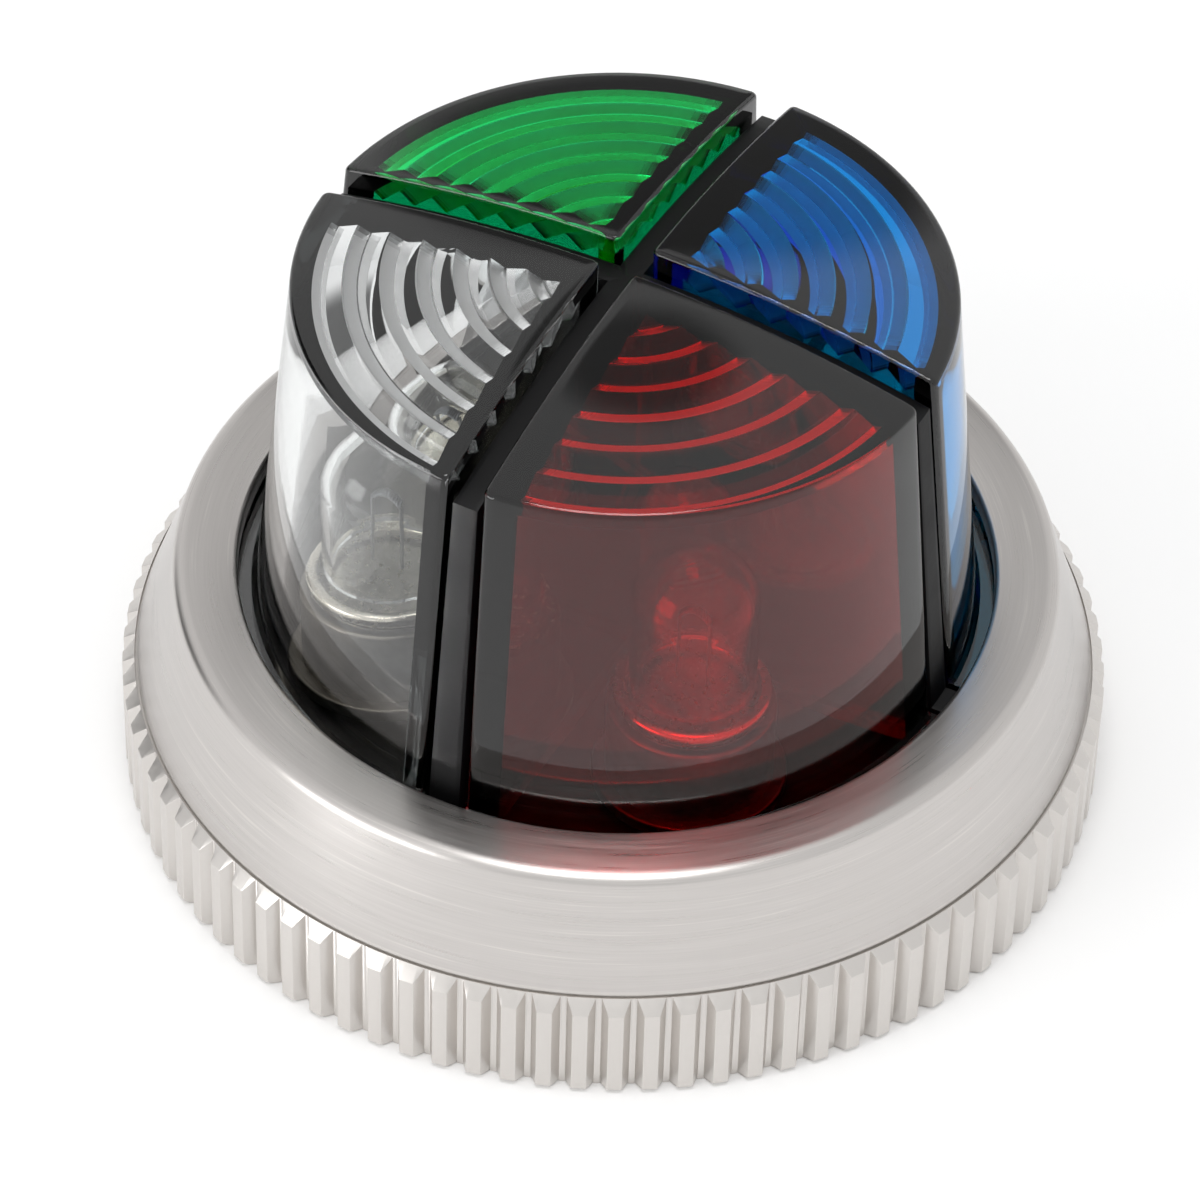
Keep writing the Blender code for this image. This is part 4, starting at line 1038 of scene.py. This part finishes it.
def make_contact(colour, where):
    """The centre contact: a headed plunger, and the coil spring under its head."""
    low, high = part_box(f"plunger_{colour}")
    head_z = high.z - PLUNGER_HEAD_THICK
    soft = 0.0001
    shape = turned([
        (0, low.z), (PLUNGER_STEM_R, low.z, soft * 2), (PLUNGER_STEM_R, head_z),
        (PLUNGER_HEAD_R, head_z, soft), (PLUNGER_HEAD_R, high.z, soft * 2), (0, high.z),
    ], SCREW_ROUND, on_axis=True)
    piece(f"contact_pin_{colour}", shape, NICKEL, f"contact_{colour}", f"plunger_{colour}", where)
    spring_low, spring_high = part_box(f"spring_{colour}")
    foot = spring_low.z + SPRING_WIRE_R
    head = spring_high.z - SPRING_WIRE_R
    count = 120
    path = []
    for k in range(count + 1):
        share = k / count
        x, y = polar(SPRING_COIL_R, math.tau * SPRING_TURNS * share)
        path.append(Vector((x, y, foot + (head - foot) * share)))
    coil = piece(f"coil_spring_{colour}", swept(path, SPRING_WIRE_R, 10), SPRING_STEEL, "housing",
                 f"spring_{colour}", where)
    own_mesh(coil)


# ---- the mouldings and the terminals underneath ----

def make_deck():
    """The moulded deck that the sockets stand in."""
    wide = BODY_BORE_R - GAP
    narrow = BODY_LIP_R - GAP
    soft = 0.00015
    mesh = as_mesh("deck", turned([
        (0, DECK_Z), (wide, DECK_Z, soft), (wide, DECK_STEP_Z, soft), (narrow, DECK_STEP_Z),
        (narrow, DECK_TOP_Z, soft), (0, DECK_TOP_Z),
    ], on_axis=True))
    for colour in QUADRANTS:
        where = centre_of(f"socket_{colour}")
        mesh = drilled(mesh, SOCKET_SPIGOT_R + GAP, DECK_Z - GAP, DECK_TOP_Z + GAP, where)
    mesh = drilled(mesh, CLAMP_SCREW_R + GAP, DECK_Z - GAP, DECK_TOP_Z - 2 * GAP)
    piece("deck_moulding", mesh, PHENOLIC, "housing", "lamp_deck")


def make_terminal_block():
    """The round moulding underneath, drilled for the contact pins and the screws."""
    soft = 0.0002
    radius = BODY_BORE_R - GAP
    below, above = BLOCK_Z - GAP, BLOCK_TOP_Z + GAP
    mesh = as_mesh("block", turned([
        (0, BLOCK_Z), (radius, BLOCK_Z, soft), (radius, BLOCK_TOP_Z, soft), (0, BLOCK_TOP_Z),
    ], on_axis=True))
    for colour in QUADRANTS:
        pin = centre_of(f"plunger_{colour}")
        screw = centre_of(f"terminal_screw_{colour}")
        mesh = drilled(mesh, PLUNGER_STEM_R + GAP, below, above, pin, HOLE_ROUND)
        mesh = drilled(mesh, SCREW_R + GAP, below, BLOCK_TOP_Z - 2 * GAP, screw, HOLE_ROUND)
    mesh = drilled(mesh, CLAMP_SCREW_R + GAP, below, above, sides=SCREW_ROUND)
    piece("block_moulding", mesh, PHENOLIC, "housing", "terminal_block")


def make_plate():
    """The thin plate that joins the four sleeves."""
    mesh = as_mesh("plate", disc(BODY_BORE_R - 3 * GAP, PLATE_Z, PLATE_TOP_Z, ROUND))
    for colour in QUADRANTS:
        where = centre_of(f"plunger_{colour}")
        mesh = drilled(mesh, PLUNGER_HEAD_R + GAP, PLATE_Z - GAP, PLATE_TOP_Z + GAP, where)
    mesh = drilled(mesh, CLAMP_SCREW_R + GAP, PLATE_Z - GAP, PLATE_TOP_Z + GAP, sides=SCREW_ROUND)
    piece("joining_plate", mesh, NICKEL, "housing", "common_plate")


def make_screw(name, stands_for, head_r, shank_r):
    """A slotted pan-head screw, head down."""
    low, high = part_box(stands_for)
    under_z = low.z + SCREW_HEAD
    soft = 0.00015
    shape = turned([
        (0, low.z), (head_r * 0.8, low.z, soft), (head_r, low.z + SCREW_HEAD * 0.35, soft * 2),
        (head_r, under_z, soft), (shank_r, under_z), (shank_r, high.z, soft), (0, high.z),
    ], SCREW_ROUND, on_axis=True)
    half = (head_r * 2, SLOT_WIDTH / 2)
    slot = block((-half[0], -half[1], low.z - GAP), (*half, low.z + SLOT_DEPTH))
    mesh = boolean(as_mesh(name, shape), moved(slot, turn=SLOT_TURN))
    piece(name, mesh, ZINC, "housing", stands_for, centre_of(stands_for))


def make_tab(colour, where, turn, near_hole_r, far_hole_r):
    """A flat terminal strip with rounded ends and two holes."""
    low, high = (corner.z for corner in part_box(f"terminal_tab_{colour}"))
    half = max(near_hole_r, far_hole_r) + TAB_EDGE
    strip = block((-half, -TAB_REACH - half, low), (half, half, high))
    upright = [edge for edge in strip.edges if abs(edge.verts[0].co.z - edge.verts[1].co.z) > TAB_THICK / 2]
    bmesh.ops.bevel(strip, geom=upright, offset=half * 0.8, segments=10, profile=0.5, affect="EDGES")
    mesh = drilled(as_mesh("tab", strip), near_hole_r, low - GAP, high + GAP, sides=TAB_HOLE_ROUND)
    mesh = drilled(mesh, far_hole_r, low - GAP, high + GAP, (0, -TAB_REACH), TAB_HOLE_ROUND)
    piece(f"tab_{colour}", mesh, NICKEL, "housing", f"terminal_tab_{colour}", where, turn)


def make_terminals():
    for colour, angle in QUADRANTS.items():
        make_tab(colour, centre_of(f"plunger_{colour}"), angle, PLUNGER_STEM_R + GAP, SCREW_R + GAP)
        make_screw(f"slotted_screw_{colour}", f"terminal_screw_{colour}", SCREW_HEAD_R, SCREW_R)
    make_tab("common", (0, 0), 0, CLAMP_SCREW_R + GAP, WIRE_HOLE_R)
    make_screw("clamping_screw", "clamp_screw", CLAMP_HEAD_R, CLAMP_SCREW_R)


def make_seal():
    """The rubber seal between the barrel and the caps, rounded on its top edges."""
    low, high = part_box("lens_gasket")
    shape = band(BODY_LIP_R, BODY_LAND_R, low.z, high.z, SEAL_EDGE)
    piece("rubber_seal", shape, RUBBER, "housing", "lens_gasket")


def make_pin():
    low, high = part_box("locating_pin")
    radius = (high.x - low.x) / 2
    soft = 0.0001
    shape = turned([(0, low.z), (radius, low.z, soft), (radius, high.z, soft * 1.5), (0, high.z)],
                   HOLE_ROUND, on_axis=True)
    piece("dowel_pin", shape, ZINC, "housing", "locating_pin", centre_of("locating_pin"))


make_caps()
make_divider()
make_ring()
make_barrel()
in_groove = SNAP_RING_DEPTH - GAP / 2
make_snap_ring("cap_retainer", RING_BORE_R + in_groove, RETAINER_WIDTH, "screw_ring", "lens_retainer")
make_snap_ring("block_ring", BODY_BORE_R + in_groove, SNAP_RING_WIDTH, "housing", "block_snap_ring")
for colour in QUADRANTS:
    place = centre_of(f"socket_{colour}")
    make_socket(colour, place)
    make_lamp(colour, place)
    make_contact(colour, place)
make_deck()
make_plate()
make_terminal_block()
make_terminals()
make_seal()
make_pin()


# ---- the studio ----

FLOOR_HALF = 3
FLOOR_DROP = 0.00002        # so that the floor doesn't lie in the plane of the pieces' feet
TENT_LIGHT = 0.85
# Dark openings in the tent: azimuth, elevation, dark within, light beyond (degrees), light left.
OPENINGS = ((204, 27, 12, 17, 0.25), (204, 54, 4, 8, 0.35), (-92, 14, 10, 20, 0.1))
LIGHT_AIM = Vector((0, 0, 0.015))
SOFTBOX_DISTANCE = 0.6
POOL_AZIMUTH, POOL_REACH, POOL_HEIGHT, POOL_SPREAD = -28, 0.078, 0.1, 14
CAMERA_AZIMUTH, CAMERA_ELEVATION, CAMERA_ROLL = 26.4, 45.643, 1.692
CAMERA_DISTANCE = 0.300
CAMERA_AIM = Vector((-0.000814, 0, 0.008206))
CAMERA_LENS = 185.45        # mm, on a 36 mm sensor


def make_floor():
    mesh = bpy.data.meshes.new("sweep")
    corners = [(-1, -1, 0), (1, -1, 0), (1, 1, 0), (-1, 1, 0)]
    mesh.from_pydata([Vector(corner) * FLOOR_HALF for corner in corners], [], [(0, 1, 2, 3)])
    floor = new_object("sweep", mesh)
    floor.location.z = cad_low.z - FLOOR_DROP
    mesh.materials.append(pale_sweep())


def towards(azimuth, elevation):
    """The direction at an azimuth, where 0 is -Y and 90 is +X, and an elevation."""
    a, e = math.radians(azimuth), math.radians(elevation)
    return Vector((math.sin(a) * math.cos(e), -math.cos(a) * math.cos(e), math.sin(e)))


def area_light(name, width, height, watts):
    """A flat light, which shines straight down until it is turned."""
    light = bpy.data.lights.new(name, "AREA")
    light.shape = "RECTANGLE"
    light.size, light.size_y = width, height
    light.energy = watts
    return new_object(name, light)


def softbox(name, azimuth, elevation, width, height):
    """A soft light that shines on the object from a direction."""
    made = area_light(name, width, height, 1.0)
    way = towards(azimuth, elevation)
    made.location = LIGHT_AIM + way * SOFTBOX_DISTANCE
    made.rotation_euler = way.to_track_quat("Z", "Y").to_euler()


def make_tent():
    """A white tent with dark openings, which the domed tops and the rim of the ring reflect."""
    world = bpy.data.worlds.new("studio")
    bpy.context.scene.world = world
    world.use_nodes = True
    add = functools.partial(node, world.node_tree)
    way = add("TexCoord").outputs["Generated"]
    light = TENT_LIGHT
    for azimuth, elevation, dark_within, light_beyond, left in OPENINGS:
        near = add("VectorMath", {"operation": "DOT_PRODUCT"}, in0=way, in1=towards(azimuth, elevation))
        share = add("MapRange", {"interpolation_type": "SMOOTHSTEP"}, Value=near.outputs["Value"],
                    From_Min=math.cos(math.radians(light_beyond)),
                    From_Max=math.cos(math.radians(dark_within)), To_Min=1.0, To_Max=left)
        light = add("Math", MULTIPLY, in0=light, in1=share)
    background = world.node_tree.nodes["Background"]
    background.inputs["Color"].default_value = linear("#ffffff")
    world.node_tree.links.new(light.outputs[0], background.inputs["Strength"])


def make_studio():
    bpy.context.scene.view_settings.view_transform = "Standard"
    make_tent()
    softbox("key_softbox", -30, 14, 0.36, 0.28)
    softbox("top_softbox", 20, 82, 0.25, 0.25)
    # A small pool of light on the floor beside the ring, which its shoulder mirrors as a highlight.
    pool = area_light("gridded_light", 0.008, 0.008, 0.08)
    pool.data.spread = math.radians(POOL_SPREAD)
    pool.location = towards(POOL_AZIMUTH, 0) * POOL_REACH + Vector((0, 0, POOL_HEIGHT))


def make_camera():
    """A long lens, well above the ring's shoulder, level with the grooves' slant."""
    roll = math.radians(CAMERA_ROLL)
    place = CAMERA_DISTANCE * towards(CAMERA_AZIMUTH, CAMERA_ELEVATION)
    ahead = (CAMERA_AIM - place).normalized()
    right = ahead.cross(Vector((0, 0, 1))).normalized()
    up = right.cross(ahead)
    tilted_right = right * math.cos(roll) + up * math.sin(roll)
    tilted_up = up * math.cos(roll) - right * math.sin(roll)
    data = bpy.data.cameras.new("camera")
    data.sensor_width = 36
    data.lens = CAMERA_LENS
    data.clip_start, data.clip_end = 0.01, 10
    made = new_object("camera", data)
    turned_to = Matrix((tilted_right, tilted_up, -ahead)).transposed()
    made.matrix_world = Matrix.Translation(place) @ turned_to.to_4x4()
    bpy.context.scene.camera = made


make_floor()
make_studio()
make_camera()
